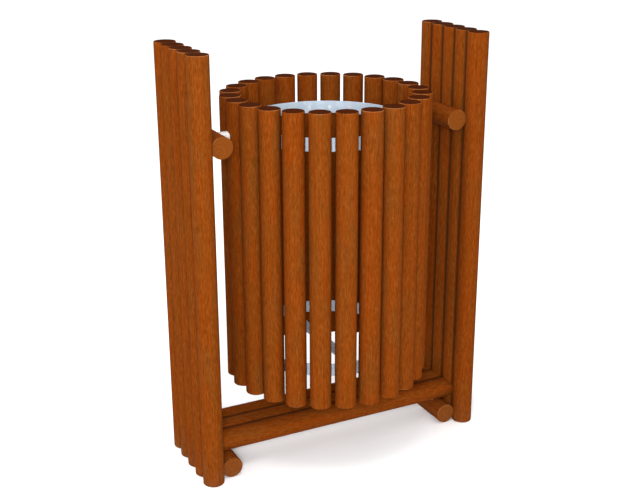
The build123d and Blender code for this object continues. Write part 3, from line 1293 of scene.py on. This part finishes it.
    def stations(self) -> Array:
        """Place the grid's rows along the bar's side.

        They are evenly spaced, with one at each band's edge and one through each ring of
        each pocket on either side.

        Returns:
            Sorted places along the bar, from the foot of one arris to the other's.
        """
        first, last = self.start + self.arris, self.end - self.arris
        count = max(2, math.ceil((last - first) / self.step) + 1)
        rows = np.linspace(first, last, count)
        for edge in self.bands:
            rows = np.append(rows[np.abs(rows - edge) > self.row_clearance], edge)
        for pocket in self.pockets:
            radii, _ = pocket.rings()
            _, station = self.pocket_offsets(pocket)
            outside = np.abs(rows - station) > radii[-1] + self.pocket_clearance
            lines = np.concatenate([-radii[::-1], [0.0], radii]) + station
            rows = np.concatenate([rows[outside], lines])
        return np.sort(rows)

    def profile(self) -> tuple[Array, Array, Array]:
        """Draw the bar's outline from one end's middle to the other's.

        Each arris is a quarter circle: inset is its radius times one less the sine, and the
        step back from the end its radius times one less the cosine.

        Returns:
            For each row its inset from the full radius, its place along, and how far it
            belongs to an end face, from 0 to 1.
        """
        cap = (1 - np.array(self.cap_shares)) * (self.radius - self.arris) + self.arris
        turn = np.linspace(0, math.pi / 2, self.arris_rows)
        round_inset = self.arris * (1 - np.sin(turn))
        round_back = self.arris * (1 - np.cos(turn))
        end_inset = np.concatenate([cap, round_inset])
        end_back = np.concatenate([np.zeros(len(cap)), round_back])
        end_mask = np.concatenate([np.ones(len(cap)), 1 - turn / (math.pi / 2)])
        side = self.stations()[1:-1]
        inset = np.concatenate([end_inset, np.zeros(len(side)), end_inset[::-1]])
        places = [self.start + end_back, side, (self.end - end_back)[::-1]]
        mask = np.concatenate([end_mask, np.zeros(len(side)), end_mask[::-1]])
        return inset, np.concatenate(places), mask

    def dips(self, angles: Array, along: Array) -> Array:
        """Work out the unevenness left by turning and weather.

        A dip is the unevenness times a half plus half the mean of three cosines, of one,
        two and three times the angle, each drifting along the bar at its own wavelength.

        Args:
            angles: The columns' angles.
            along: The rows' places.

        Returns:
            A dip for each row and column.
        """
        turns = np.array([1, 2, 3])
        waves = self.random.uniform(*self.drift_lengths, len(turns))
        phases = self.random.uniform(0, FULL_TURN, len(turns))
        drift = FULL_TURN * along[:, None, None] / waves + phases
        cosines = np.cos(turns * angles[None, :, None] + drift)
        return self.unevenness * (0.5 + 0.5 * cosines.mean(axis=2))

    def sink_pocket(
        self, pocket: Pocket, aside: Array, height: Array, along: Array
    ) -> tuple[Array, Array, Array]:
        """Turn a square patch of the grid into a pocket.

        The square rings of grid points become circles: each point is moved along its own
        ray until its distance from the pocket's middle line is what its ring says. Rings on
        a floor take the floor's height. Past the mouth the circles ease back into squares.

        Args:
            pocket: The pocket.
            aside: Offset of each point across the mouth, from the bar's middle line.
            height: Distance of each point from the bar's middle line towards the mouth.
            along: Place of each point along the bar.

        Returns:
            The new offsets, heights and places.
        """
        radii, floors = pocket.rings()
        centre_aside, station = self.pocket_offsets(pocket)
        across, onward = aside - centre_aside, along - station
        ring = np.maximum(np.abs(across), np.abs(onward))
        reach = np.maximum(np.hypot(across, onward), NOTHING)
        inside = (height > 0) & (ring < radii[-1] - HAIR)
        mouth = pocket.steps[0][0] + pocket.lip
        ease = np.clip((ring - mouth) / (radii[-1] - mouth), 0, 1)
        scale = np.where(inside, (1 - ease) * ring / reach + ease, 1.0)
        across, onward = across * scale, onward * scale
        surface = np.sqrt(np.clip(self.radius**2 - (across + centre_aside) ** 2, 0, None))
        nearest = np.abs(ring[..., None] - radii).argmin(axis=-1)
        floor = floors[nearest]
        floor = np.where(ring < radii[0] / 2, floors[0], floor)
        on_floor = inside & ~np.isnan(floor)
        sunk = np.where(on_floor, np.nan_to_num(floor), np.where(inside, surface, height))
        return across + centre_aside, sunk, onward + station

    def open_crack(
        self, length: float, end: int, share: Array, along: Array, mask: Array
    ) -> tuple[Array, Array]:
        """Work out how a drying crack pulls its column of points inwards.

        It is deepest at the end face and fades evenly along its length. On the face it
        starts a little off the heart and is fully open before the rim.

        Args:
            length: The crack's length along the bar.
            end: Which end it is in, 0 or 1.
            share: Each row's distance from the middle line, as a share of the radius.
            along: Each row's place along the bar.
            mask: How far each row belongs to an end face.

        Returns:
            For each row how far the crack sinks towards the middle line, and how far it
            moves along the bar.
        """
        slope, delay = self.crack_opening
        on_face = mask > 0.99
        back = np.abs(along - (self.end if end else self.start))
        depth = self.crack_depth * np.clip(1 - back / length, 0, 1)
        open_share = np.clip(share * slope - delay, 0, 1)
        inward = -1.0 if end else 1.0
        return depth * ~on_face, inward * depth * open_share * on_face

    def surface(self) -> tuple[Array, Array]:
        """Work out the bar's whole surface.

        Returns:
            Points by row and column, and how far each row belongs to an end face.
        """
        cracks = self.draw_cracks()
        angles = self.columns_round(cracks[0])
        inset, along, mask = self.profile()
        share = (self.radius - inset) / self.radius
        reach = self.radius * share[:, None] - self.dips(angles, along) * share[:, None]
        places = np.repeat(along[:, None], len(angles), axis=1)
        for angle, length, end in zip(*cracks):
            column = np.abs(turned_from(angles, angle)).argmin()
            sunk, opened = self.open_crack(length, end, share, along, mask)
            reach[:, column] -= sunk
            places[:, column] += opened

        if self.pockets:
            facing = self.pocket_angle()
            turned = angles - facing
            aside, height = reach * np.sin(turned), reach * np.cos(turned)
            for pocket in self.pockets:
                aside, height, places = self.sink_pocket(pocket, aside, height, places)
            part_a = height * math.cos(facing) - aside * math.sin(facing)
            part_b = height * math.sin(facing) + aside * math.cos(facing)
        else:
            part_a, part_b = reach * np.cos(angles), reach * np.sin(angles)

        points = np.empty((*reach.shape, 3))
        points[..., self.across_a] = part_a + self.middle[self.across_a]
        points[..., self.across_b] = part_b + self.middle[self.across_b]
        points[..., self.along] = places
        return points, mask

    def grain_places(self, points: Array) -> Array:
        """Say where each point lies in the log that the bar was turned from.

        The bar's own cross-section is turned about its middle, moved off the log's heart
        and shifted along the log, all by random amounts of its own.

        Args:
            points: Points with their coordinates last.

        Returns:
            Places across, across and along the log.
        """
        offset = points - self.middle
        spin = self.random.uniform(0, FULL_TURN)
        heart = self.random.uniform(*self.heart_offsets)
        shift = self.random.uniform(0, LOG_LENGTH)
        part_a, part_b = offset[..., self.across_a], offset[..., self.across_b]
        across = part_a * math.cos(spin) - part_b * math.sin(spin) + heart
        deep = part_a * math.sin(spin) + part_b * math.cos(spin)
        return np.stack([across, deep, offset[..., self.along] + shift], axis=-1)

    def gap_shares(self, points: Array) -> Array:
        """Say how narrow the gap to the nearest bar alongside is, which sets the painted shade
        there.

        The gap is the distance from the neighbour's middle line less its radius. The share
        eases from 1 at the near gap to 0 at the far one.

        Args:
            points: Points with their coordinates last.

        Returns:
            A share from 0 to 1 for each point.
        """
        nearest = np.full(len(points), np.inf)
        for name in self.neighbours:
            other = Measure.of(name)
            offset = points - other.middle
            line_distance = np.hypot(offset[:, self.across_a], offset[:, self.across_b])
            nearest = np.minimum(nearest, line_distance - other.size[self.across_a] / 2)
        share = np.clip((self.gap_far - nearest) / (self.gap_far - self.gap_near), 0, 1)
        return share**2 * (3 - 2 * share)

    def build(self) -> bpy.types.Object:
        """Make the bar's object.

        Returns:
            A closed mesh at the origin, with its place in its points.
        """
        points, mask = self.surface()
        rows, columns = points.shape[:2]
        poles = np.repeat(self.middle[None, :], 2, axis=0)
        poles[:, self.along] = [self.start, self.end]
        everything = np.concatenate([points.reshape(-1, 3), poles])
        for press in self.presses:
            everything = press.shape(everything)
        end_share = np.concatenate([np.repeat(mask, columns), [1.0, 1.0]])
        mesh = close_tube(f"turned_{self.node}", everything, rows, columns)
        write_attribute(mesh, PLACE, "FLOAT_VECTOR", self.grain_places(everything))
        write_attribute(mesh, END, "FLOAT", end_share)
        write_attribute(mesh, NARROW, "FLOAT", self.gap_shares(everything))
        return place_object(mesh)


def close_tube(name: str, points: Array, rows: int, columns: int) -> bpy.types.Mesh:
    """Skin a grid of rings into a closed tube with a fan at each end.

    Args:
        name: The mesh's name.
        points: The rings' points, row by row, and then the first and the last pole.
        rows: Number of rings.
        columns: Points in a ring.

    Returns:
        The mesh, smooth but for its sharp edges.
    """
    row, column = np.meshgrid(np.arange(rows - 1), np.arange(columns), indexing="ij")
    row, column = row.ravel(), column.ravel()
    onward = (column + 1) % columns
    quads = np.stack(
        [
            row * columns + column,
            row * columns + onward,
            (row + 1) * columns + onward,
            (row + 1) * columns + column,
        ],
        axis=1,
    )
    around = np.arange(columns)
    after = (around + 1) % columns
    first_pole, last_pole = rows * columns, rows * columns + 1
    last_row = (rows - 1) * columns
    low_fan = np.stack([np.full(columns, first_pole), after, around], axis=1)
    high_fan = np.stack([np.full(columns, last_pole), last_row + around, last_row + after], axis=1)
    return skin(name, points, quads, np.concatenate([low_fan, high_fan]))


def skin(name: str, points: Array, quads: Array, triangles: Array) -> bpy.types.Mesh:
    """Make a mesh from points, four-sided and three-sided faces.

    Args:
        name: The mesh's name.
        points: Its points.
        quads: Four point numbers a face.
        triangles: Three point numbers a face.

    Returns:
        The mesh, smooth but for its sharp edges.
    """
    mesh = bpy.data.meshes.new(name)
    mesh.vertices.add(len(points))
    mesh.vertices.foreach_set("co", points.astype(np.float32).ravel())
    corners = np.concatenate([quads.ravel(), triangles.ravel()]).astype(np.int32)
    sides = np.concatenate([np.full(len(quads), 4), np.full(len(triangles), 3)])
    starts = np.concatenate([[0], np.cumsum(sides)[:-1]]).astype(np.int32)
    mesh.loops.add(len(corners))
    mesh.loops.foreach_set("vertex_index", corners)
    mesh.polygons.add(len(sides))
    mesh.polygons.foreach_set("loop_start", starts)
    mesh.polygons.foreach_set("use_smooth", np.ones(len(sides), dtype=bool))
    mesh.update(calc_edges=True)
    mesh.validate()
    mesh.set_sharp_from_angle(angle=SHARP_ANGLE)
    return mesh


def write_attribute(mesh: bpy.types.Mesh, name: str, kind: str, values: Array) -> None:
    """Write one value or vector a point.

    Args:
        mesh: The mesh.
        name: The attribute's name.
        kind: FLOAT or FLOAT_VECTOR.
        values: The values, point by point.
    """
    attribute = mesh.attributes.new(name, kind, "POINT")
    key = "vector" if kind == "FLOAT_VECTOR" else "value"
    attribute.data.foreach_set(key, values.astype(np.float32).ravel())


def place_object(mesh: bpy.types.Mesh) -> bpy.types.Object:
    """Put a mesh in the scene, at the origin.

    Args:
        mesh: The mesh, whose name the object takes.

    Returns:
        The object.
    """
    piece = bpy.data.objects.new(mesh.name, mesh)
    bpy.context.scene.collection.objects.link(piece)
    return piece


def dress(piece: bpy.types.Object, material: bpy.types.Material) -> None:
    """Give an object one material in all its slots.

    Args:
        piece: The object.
        material: The material.
    """
    if not piece.material_slots:
        piece.data.materials.append(material)
    for slot in piece.material_slots:
        slot.material = material


def fit_piece(piece: bpy.types.Object, node: str) -> None:
    """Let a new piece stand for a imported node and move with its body.

    Args:
        piece: The piece.
        node: The node that it stands for.
    """
    bodies = frame["record"]["behaviour"]["bodies"]
    body = next(name for name, nodes in bodies.items() if node in nodes)
    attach(piece, body)
    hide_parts(node)
    LOG.info("%s stands for %s on %s, %d points", piece.name, node, body, len(piece.data.vertices))


# ---------------------------------------------------------------- sub-assemblies


SIDES = ("left", "right")
# Room left between a piece and the seat that another is cut to.
SEAT_PLAY = 0.00005


class Level(Enum):
    """Which of a side frame's two cross logs."""

    LOWER = "lower"
    UPPER = "upper"


@dataclass
class Wardrobe:
    """The finishes, made once and handed to the sub-assemblies.

    Attributes:
        effects: The shared node groups.
        uprights: Stained wood of the upright bars, in three shades.
        lying: Stained wood of the cross logs and the floor beams.
        galvanised: Steel of the hoops and the strap.
        turned: Steel of the pivots.
        plated: Steel of the screws and washers.
        nylon: Plastic of the bushes.
        floor: The studio's floor.
    """

    effects: Effects = field(default_factory=Effects)

    def __post_init__(self) -> None:
        """Make every material."""
        stains: list[Finish] = [
            StainedWood("stained_bar_plain"),
            StainedWood("stained_bar_warm", body=(106, 49, 8), warm=(115, 47, 5), ring_gap=0.0033),
            StainedWood("stained_bar_tan", body=(103, 51, 10), tan=(97, 55, 18), ring_gap=0.0024),
        ]
        self.uprights = [self.made(finish) for finish in stains]
        self.lying = self.made(
            # Lighter end tone than the uprights': painted light, the logs' end faces kept as
            # bright as a lit side.
            StainedWood("stained_log", body=(107, 50, 8), end_body=(103, 53, 16))
        )
        self.galvanised = self.made(
            Steel(
                "galvanised_strip",
                light=(190, 202, 214),
                dark=(163, 180, 195),
                rough=0.48,
                spangle_scale=75.0,
                metal=0.12,
            )
        )
        self.turned = self.made(
            Steel(
                "turned_pivot_steel",
                light=(242, 240, 236),
                dark=(222, 220, 216),
                rough=0.34,
                spangle_scale=260.0,
                metal=0.5,
            )
        )
        self.plated = self.made(
            Steel(
                "zinc_plated_fixings",
                light=(214, 222, 228),
                dark=(196, 206, 212),
                rough=0.4,
                spangle_scale=500.0,
                metal=0.25,
            )
        )
        self.nylon = self.made(Nylon())
        self.floor = self.made(PaleFloor())

    def made(self, finish: Finish) -> bpy.types.Material:
        """Make one finish's material."""
        return finish.make(self.effects)

    def upright(self, number: int) -> bpy.types.Material:
        """Hand out the upright bars' materials in turn."""
        return self.uprights[number % len(self.uprights)]


@dataclass
class SideFrames:
    """The two frames of poles, and the cross logs that tie each frame's poles.

    Attributes:
        poles: Poles in each frame.
        log_spot: How far the flange's pocket reaches beyond it.
        flange: Thickness of the bush's flange.
        bore: Radius of the hole that the bush's body and the pin lie in.
        bore_space: How much deeper than the bush that hole is.
        coach_pocket: Radius and depth of a pocket for a coach screw's head.
        coach_apron: Reach of the reshaped surface round it, in radii of its mouth.
        washer_radius: Radius of the washer in it.
        log_step: Distance between grid rows along a cross log.
        pole_seeds: What each frame's pole numbers are added to, left and right.
        log_seeds: Seed of each frame's lower cross log. Its upper one has the next.
    """

    poles: int = 5
    log_spot: float = 0.0002
    flange: float = 0.002
    bore: float = 0.01005
    bore_space: float = 0.001
    coach_pocket: tuple[float, float] = (0.010, 0.014)
    coach_apron: float = 1.2
    washer_radius: float = 0.009
    log_step: float = 0.003
    pole_seeds: tuple[int, int] = (100, 120)
    log_seeds: tuple[int, int] = (160, 162)

    def build(self, wardrobe: Wardrobe) -> None:
        """Build and dress both frames.

        Args:
            wardrobe: The finishes.
        """
        for side, pole_seed, log_seed in zip(SIDES, self.pole_seeds, self.log_seeds):
            for number in range(1, self.poles + 1):
                beside = [other for other in (number - 1, number + 1) if 1 <= other <= self.poles]
                neighbours = tuple(f"{side}_pole_{other}" for other in beside)
                self.build_pole(f"{side}_pole_{number}", pole_seed + number, neighbours, wardrobe)
            self.build_log(side, Level.LOWER, log_seed, wardrobe)
            self.build_log(side, Level.UPPER, log_seed + 1, wardrobe)

    def build_pole(
        self, node: str, seed: int, neighbours: tuple[str, ...], wardrobe: Wardrobe
    ) -> None:
        """Build one upright pole.

        Args:
            node: The pole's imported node.
            seed: The pole's own seed.
            neighbours: The poles beside it.
            wardrobe: The finishes.
        """
        piece = RoundBar(node, Lie.UPRIGHT, seed, neighbours=neighbours).build()
        dress(piece, wardrobe.upright(seed))
        fit_piece(piece, node)

    def pole_seats(self, side: str) -> list[Press]:
        """Work out the seats that one frame's poles scoop out of its cross logs.

        Args:
            side: Which side.

        Returns:
            A seat for each pole.
        """
        seats: list[Press] = []
        for number in range(1, self.poles + 1):
            pole = Measure.of(f"{side}_pole_{number}")
            radius = float(pole.size[0] / 2) + SEAT_PLAY
            seats.append(RoundSeat(pole.middle, along=2, push=0, radius=radius))
        return seats

    def bush_pocket(self, side: str, log: Measure) -> Pocket:
        """Work out the stepped pocket for one side's bush.

        Args:
            side: Which side.
            log: The upper cross log.

        Returns:
            The pocket, facing the basket.
        """
        bush = Measure.of(f"{side}_pivot_bush")
        inward = -math.copysign(1.0, log.middle[0])
        mouth_face = bush.high[0] if inward > 0 else bush.low[0]
        far_end = bush.low[0] if inward > 0 else bush.high[0]
        flange_back = (mouth_face - inward * self.flange - log.middle[0]) * inward
        bottom = (far_end - inward * self.bore_space - log.middle[0]) * inward
        flange_radius = float(bush.size[1] / 2)
        steps = ((flange_radius + self.log_spot, flange_back), (self.bore, bottom))
        return Pocket(bush.middle, np.array([inward, 0.0, 0.0]), steps)

    def coach_pockets(self, side: str, log: Measure) -> list[Pocket]:
        """Work out the three pockets under one lower cross log.

        Args:
            side: Which side.
            log: The lower cross log.

        Returns:
            The pockets, facing down.
        """
        radius, depth = self.coach_pocket
        washers = Measure.of("floor_beam_washers")
        centre_x = math.copysign(washers.high[0] - self.washer_radius, log.middle[0])
        floor = float(log.size[2] / 2) - depth
        down = np.array([0.0, 0.0, -1.0])
        pockets = []
        for beam in ("front", "middle", "rear"):
            centre = Measure.of(f"{beam}_floor_beam").middle.copy()
            centre[0] = centre_x
            centre[2] = log.low[2]
            pockets.append(Pocket(centre, down, ((radius, floor),), apron=self.coach_apron))
        return pockets

    def build_log(self, side: str, level: Level, seed: int, wardrobe: Wardrobe) -> None:
        """Build one cross log with its seats and pockets.

        Args:
            side: Which side.
            level: Lower or upper.
            seed: The log's own seed.
            wardrobe: The finishes.
        """
        node = f"{side}_{level.value}_cross_log"
        log = Measure.of(node)
        if level is Level.UPPER:
            pockets = [self.bush_pocket(side, log)]
        else:
            pockets = self.coach_pockets(side, log)
        piece = RoundBar(
            node,
            Lie.FRONT_TO_REAR,
            seed,
            presses=self.pole_seats(side),
            pockets=pockets,
            step=self.log_step,
        ).build()
        dress(piece, wardrobe.lying)
        fit_piece(piece, node)


@dataclass
class FloorBeams:
    """The three beams that lie on the lower cross logs, from side to side.

    Attributes:
        beams: Each beam's name, and the number of the poles that it ends at.
        seed_base: What the pole numbers are added to for the beams' seeds.
        step: Distance between grid rows along a beam.
    """

    beams: tuple[tuple[str, int], ...] = (("front", 2), ("middle", 3), ("rear", 4))
    seed_base: int = 180
    step: float = 0.005

    def build(self, wardrobe: Wardrobe) -> None:
        """Build and dress the beams.

        Args:
            wardrobe: The finishes.
        """
        nodes = [f"{name}_floor_beam" for name, _ in self.beams]
        for place, (node, (_, pole_number)) in enumerate(zip(nodes, self.beams)):
            neighbours = tuple(nodes[max(place - 1, 0) : place] + nodes[place + 1 : place + 2])
            pole = Measure.of(f"right_pole_{pole_number}")
            radius = float(pole.size[0] / 2) + SEAT_PLAY
            beam = Measure.of(node)
            post_x, post_y = float(pole.middle[0]), float(pole.middle[1])
            presses: list[Press] = [ScribedEnds(post_x, post_y, radius, float(beam.high[0]))]
            for side in SIDES:
                log = Measure.of(f"{side}_lower_cross_log")
                presses.append(RoundSeat(log.middle, along=1, push=2, radius=radius))
            piece = RoundBar(
                node,
                Lie.LEFT_TO_RIGHT,
                self.seed_base + pole_number,
                presses=presses,
                cracks=0,
                step=self.step,
                neighbours=neighbours,
            ).build()
            dress(piece, wardrobe.lying)
            fit_piece(piece, node)


@dataclass
class Basket:
    """The ring of upright slats, with the hoops and the strap that carry them.

    Attributes:
        slats: Slats in the ring.
        spot_margin: How far a sleeve's spot face reaches beyond it.
        shade_gaps: Gap to the next slat under which the painted shade is full, and the one
            over which there is none.
        seed_base: What the slats' numbers are added to for their seeds.
    """

    slats: int = 24
    spot_margin: float = 0.0002
    shade_gaps: tuple[float, float] = (0.004, 0.011)
    seed_base: int = 200

    def build(self, wardrobe: Wardrobe) -> None:
        """Build and dress the basket.

        Args:
            wardrobe: The finishes.
        """
        seats: list[Press] = []
        bands: list[float] = []
        for hoop_name in ("lower_hoop", "upper_hoop"):
            hoop = Measure.of(hoop_name)
            low, high = float(hoop.low[2]) - SEAT_PLAY, float(hoop.high[2]) + SEAT_PLAY
            seats.append(HoopSeat(float(hoop.size[0] / 2) + SEAT_PLAY, low, high))
            bands.extend([low, low + SEAT_PLAY, high - SEAT_PLAY, high])
        pivots = {1: "right", self.slats // 2 + 1: "left"}
        for number in range(1, self.slats + 1):
            node = f"basket_slat_{number:02d}"
            pockets = [self.spot_face(pivots[number], node)] if number in pivots else []
            beside = ((number - 2) % self.slats + 1, number % self.slats + 1)
            bar = RoundBar(
                node,
                Lie.UPRIGHT,
                self.seed_base + number,
                presses=list(seats),
                pockets=pockets,
                bands=tuple(bands),
                neighbours=tuple(f"basket_slat_{other:02d}" for other in beside),
                # The painted shade between slats fades over these gaps.
                gap_near=self.shade_gaps[0],
                gap_far=self.shade_gaps[1],
            )
            piece = bar.build()
            dress(piece, wardrobe.upright(number))
            fit_piece(piece, node)
        for name in ("upper_hoop", "lower_hoop", "bottom_strap"):
            dress(frame["nodes"][name], wardrobe.galvanised)
            LOG.info("%s dressed as galvanised strip", name)

    def spot_face(self, side: str, node: str) -> Pocket:
        """Work out the flat that one side's sleeve is clamped against.

        Args:
            side: Which side.
            node: The slat that the flat is cut into.

        Returns:
            The pocket, facing the side frame.
        """
        sleeve = Measure.of(f"{side}_pivot_sleeve")
        slat = Measure.of(node)
        outward = math.copysign(1.0, slat.middle[0])
        face = sleeve.low[0] if outward > 0 else sleeve.high[0]
        floor = (face - slat.middle[0]) * outward
        radius = float(sleeve.size[1] / 2) + self.spot_margin
        return Pocket(sleeve.middle, np.array([outward, 0.0, 0.0]), ((radius, floor),))


@dataclass
class Fixings:
    """Pivots, screws and washers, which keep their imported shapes.

    Attributes:
        screws: The groups of screws and washers.
    """

    screws: tuple[str, ...] = (
        "left_dowel_screws",
        "right_dowel_screws",
        "upper_hoop_screws",
        "lower_hoop_screws",
        "strap_screws",
        "floor_beam_screws",
        "floor_beam_washers",
    )

    def build(self, wardrobe: Wardrobe) -> None:
        """Dress the fixings.

        Args:
            wardrobe: The finishes.
        """
        for side in SIDES:
            dress(frame["nodes"][f"{side}_pivot_pin"], wardrobe.turned)
            dress(frame["nodes"][f"{side}_pivot_sleeve"], wardrobe.turned)
            dress(frame["nodes"][f"{side}_pivot_bush"], wardrobe.nylon)
            LOG.info("%s pivot dressed", side)
        for name in self.screws:
            dress(frame["nodes"][name], wardrobe.plated)
            LOG.info("%s dressed as plated fixings", name)


# ---------------------------------------------------------------- studio


@dataclass(frozen=True)
class Lamp:
    """A large square lamp that looks at the bin's middle.

    Attributes:
        name: Its name.
        place: Where it hangs.
        side: Its side.
        power: Its power in watts.
    """

    name: str
    place: tuple[float, float, float]
    side: float
    power: float

    def hang(self) -> None:
        """Hang the lamp."""
        light = bpy.data.lights.new(self.name, "AREA")
        light.shape = "SQUARE"
        light.size = self.side
        light.energy = self.power
        lamp = bpy.data.objects.new(self.name, light)
        lamp.location = self.place
        low, high = CAD_BOX
        aim = (low + high) / 2 - Vector(self.place)
        lamp.rotation_euler = aim.to_track_quat("-Z", "Y").to_euler()
        bpy.context.scene.collection.objects.link(lamp)


@dataclass
class Studio:
    """A pale floor, soft lights and the camera.

    Attributes:
        eye: Where the camera stands.
        pan: How far the camera is turned from +Y towards +X, in degrees.
        tilt: How far it looks down, in degrees.
        roll: How far it leans, in degrees.
        lens: Its focal length in millimetres on the default 36 mm sensor.
        floor_half: Half of the floor's side.
        floor_drop: How far the floor lies under the poles.
        sky: Brightness of the sky.
        lamps: The lamps.
    """

    eye: tuple[float, float, float] = (-1.1296, -2.2208, 1.3726)
    pan: float = 26.62
    tilt: float = 19.52
    roll: float = -0.155
    lens: float = 61.957
    floor_half: float = 30.0
    floor_drop: float = 0.0005
    sky: float = 1.05
    lamps: tuple[Lamp, ...] = (
        Lamp("front_lamp", (-2.6, -5.2, 2.75), side=2.2, power=110.0),
        Lamp("fill_lamp", (-1.25, -2.35, 1.45), side=0.45, power=42.0),
        Lamp("top_lamp", (-0.35, -0.6, 1.95), side=0.6, power=9.0),
        Lamp("back_lamp", (-3.0, 4.6, 2.6), side=2.2, power=150.0),
    )

    def build(self, wardrobe: Wardrobe) -> None:
        """Build the studio.

        Args:
            wardrobe: The finishes.
        """
        self.build_floor(wardrobe.floor)
        self.build_sky()
        for lamp in self.lamps:
            lamp.hang()
        self.build_camera()
        bpy.context.scene.view_settings.view_transform = "Standard"

    def build_floor(self, material: bpy.types.Material) -> None:
        """Lay the floor.

        Args:
            material: Its material.
        """
        corners = np.array([[-1, -1], [1, -1], [1, 1], [-1, 1]]) * self.floor_half
        points = np.column_stack([corners, np.full(len(corners), -self.floor_drop)])
        mesh = skin("floor", points, np.arange(4)[None, :], np.empty((0, 3), dtype=int))
        floor = place_object(mesh)
        dress(floor, material)

    def build_sky(self) -> None:
        """Light the studio evenly with a near-white sky."""
        world = bpy.data.worlds.new("studio_sky")
        world.use_nodes = True
        background = world.node_tree.nodes["Background"]
        background.inputs["Color"].default_value = (1.0, 1.0, 1.0, 1.0)
        background.inputs["Strength"].default_value = self.sky
        bpy.context.scene.world = world

    def build_camera(self) -> None:
        """Set up the camera."""
        lens = bpy.data.cameras.new("camera")
        lens.lens = self.lens
        lens.clip_end = 2 * self.floor_half
        camera = bpy.data.objects.new("camera", lens)
        camera.location = self.eye
        upright = Euler((math.radians(90 - self.tilt), 0.0, math.radians(-self.pan)))
        turned = upright.to_matrix() @ Matrix.Rotation(math.radians(self.roll), 3, "Z")
        camera.rotation_euler = turned.to_euler()
        bpy.context.scene.collection.objects.link(camera)
        bpy.context.scene.camera = camera


def main() -> None:
    """Build the bin's looks, sub-assembly by sub-assembly."""
    logging.basicConfig(level=logging.INFO, format="%(message)s")
    wardrobe = Wardrobe()
    Studio().build(wardrobe)
    SideFrames().build(wardrobe)
    FloorBeams().build(wardrobe)
    Basket().build(wardrobe)
    Fixings().build(wardrobe)
    bpy.context.view_layer.update()


if __name__ == "__main__":
    main()
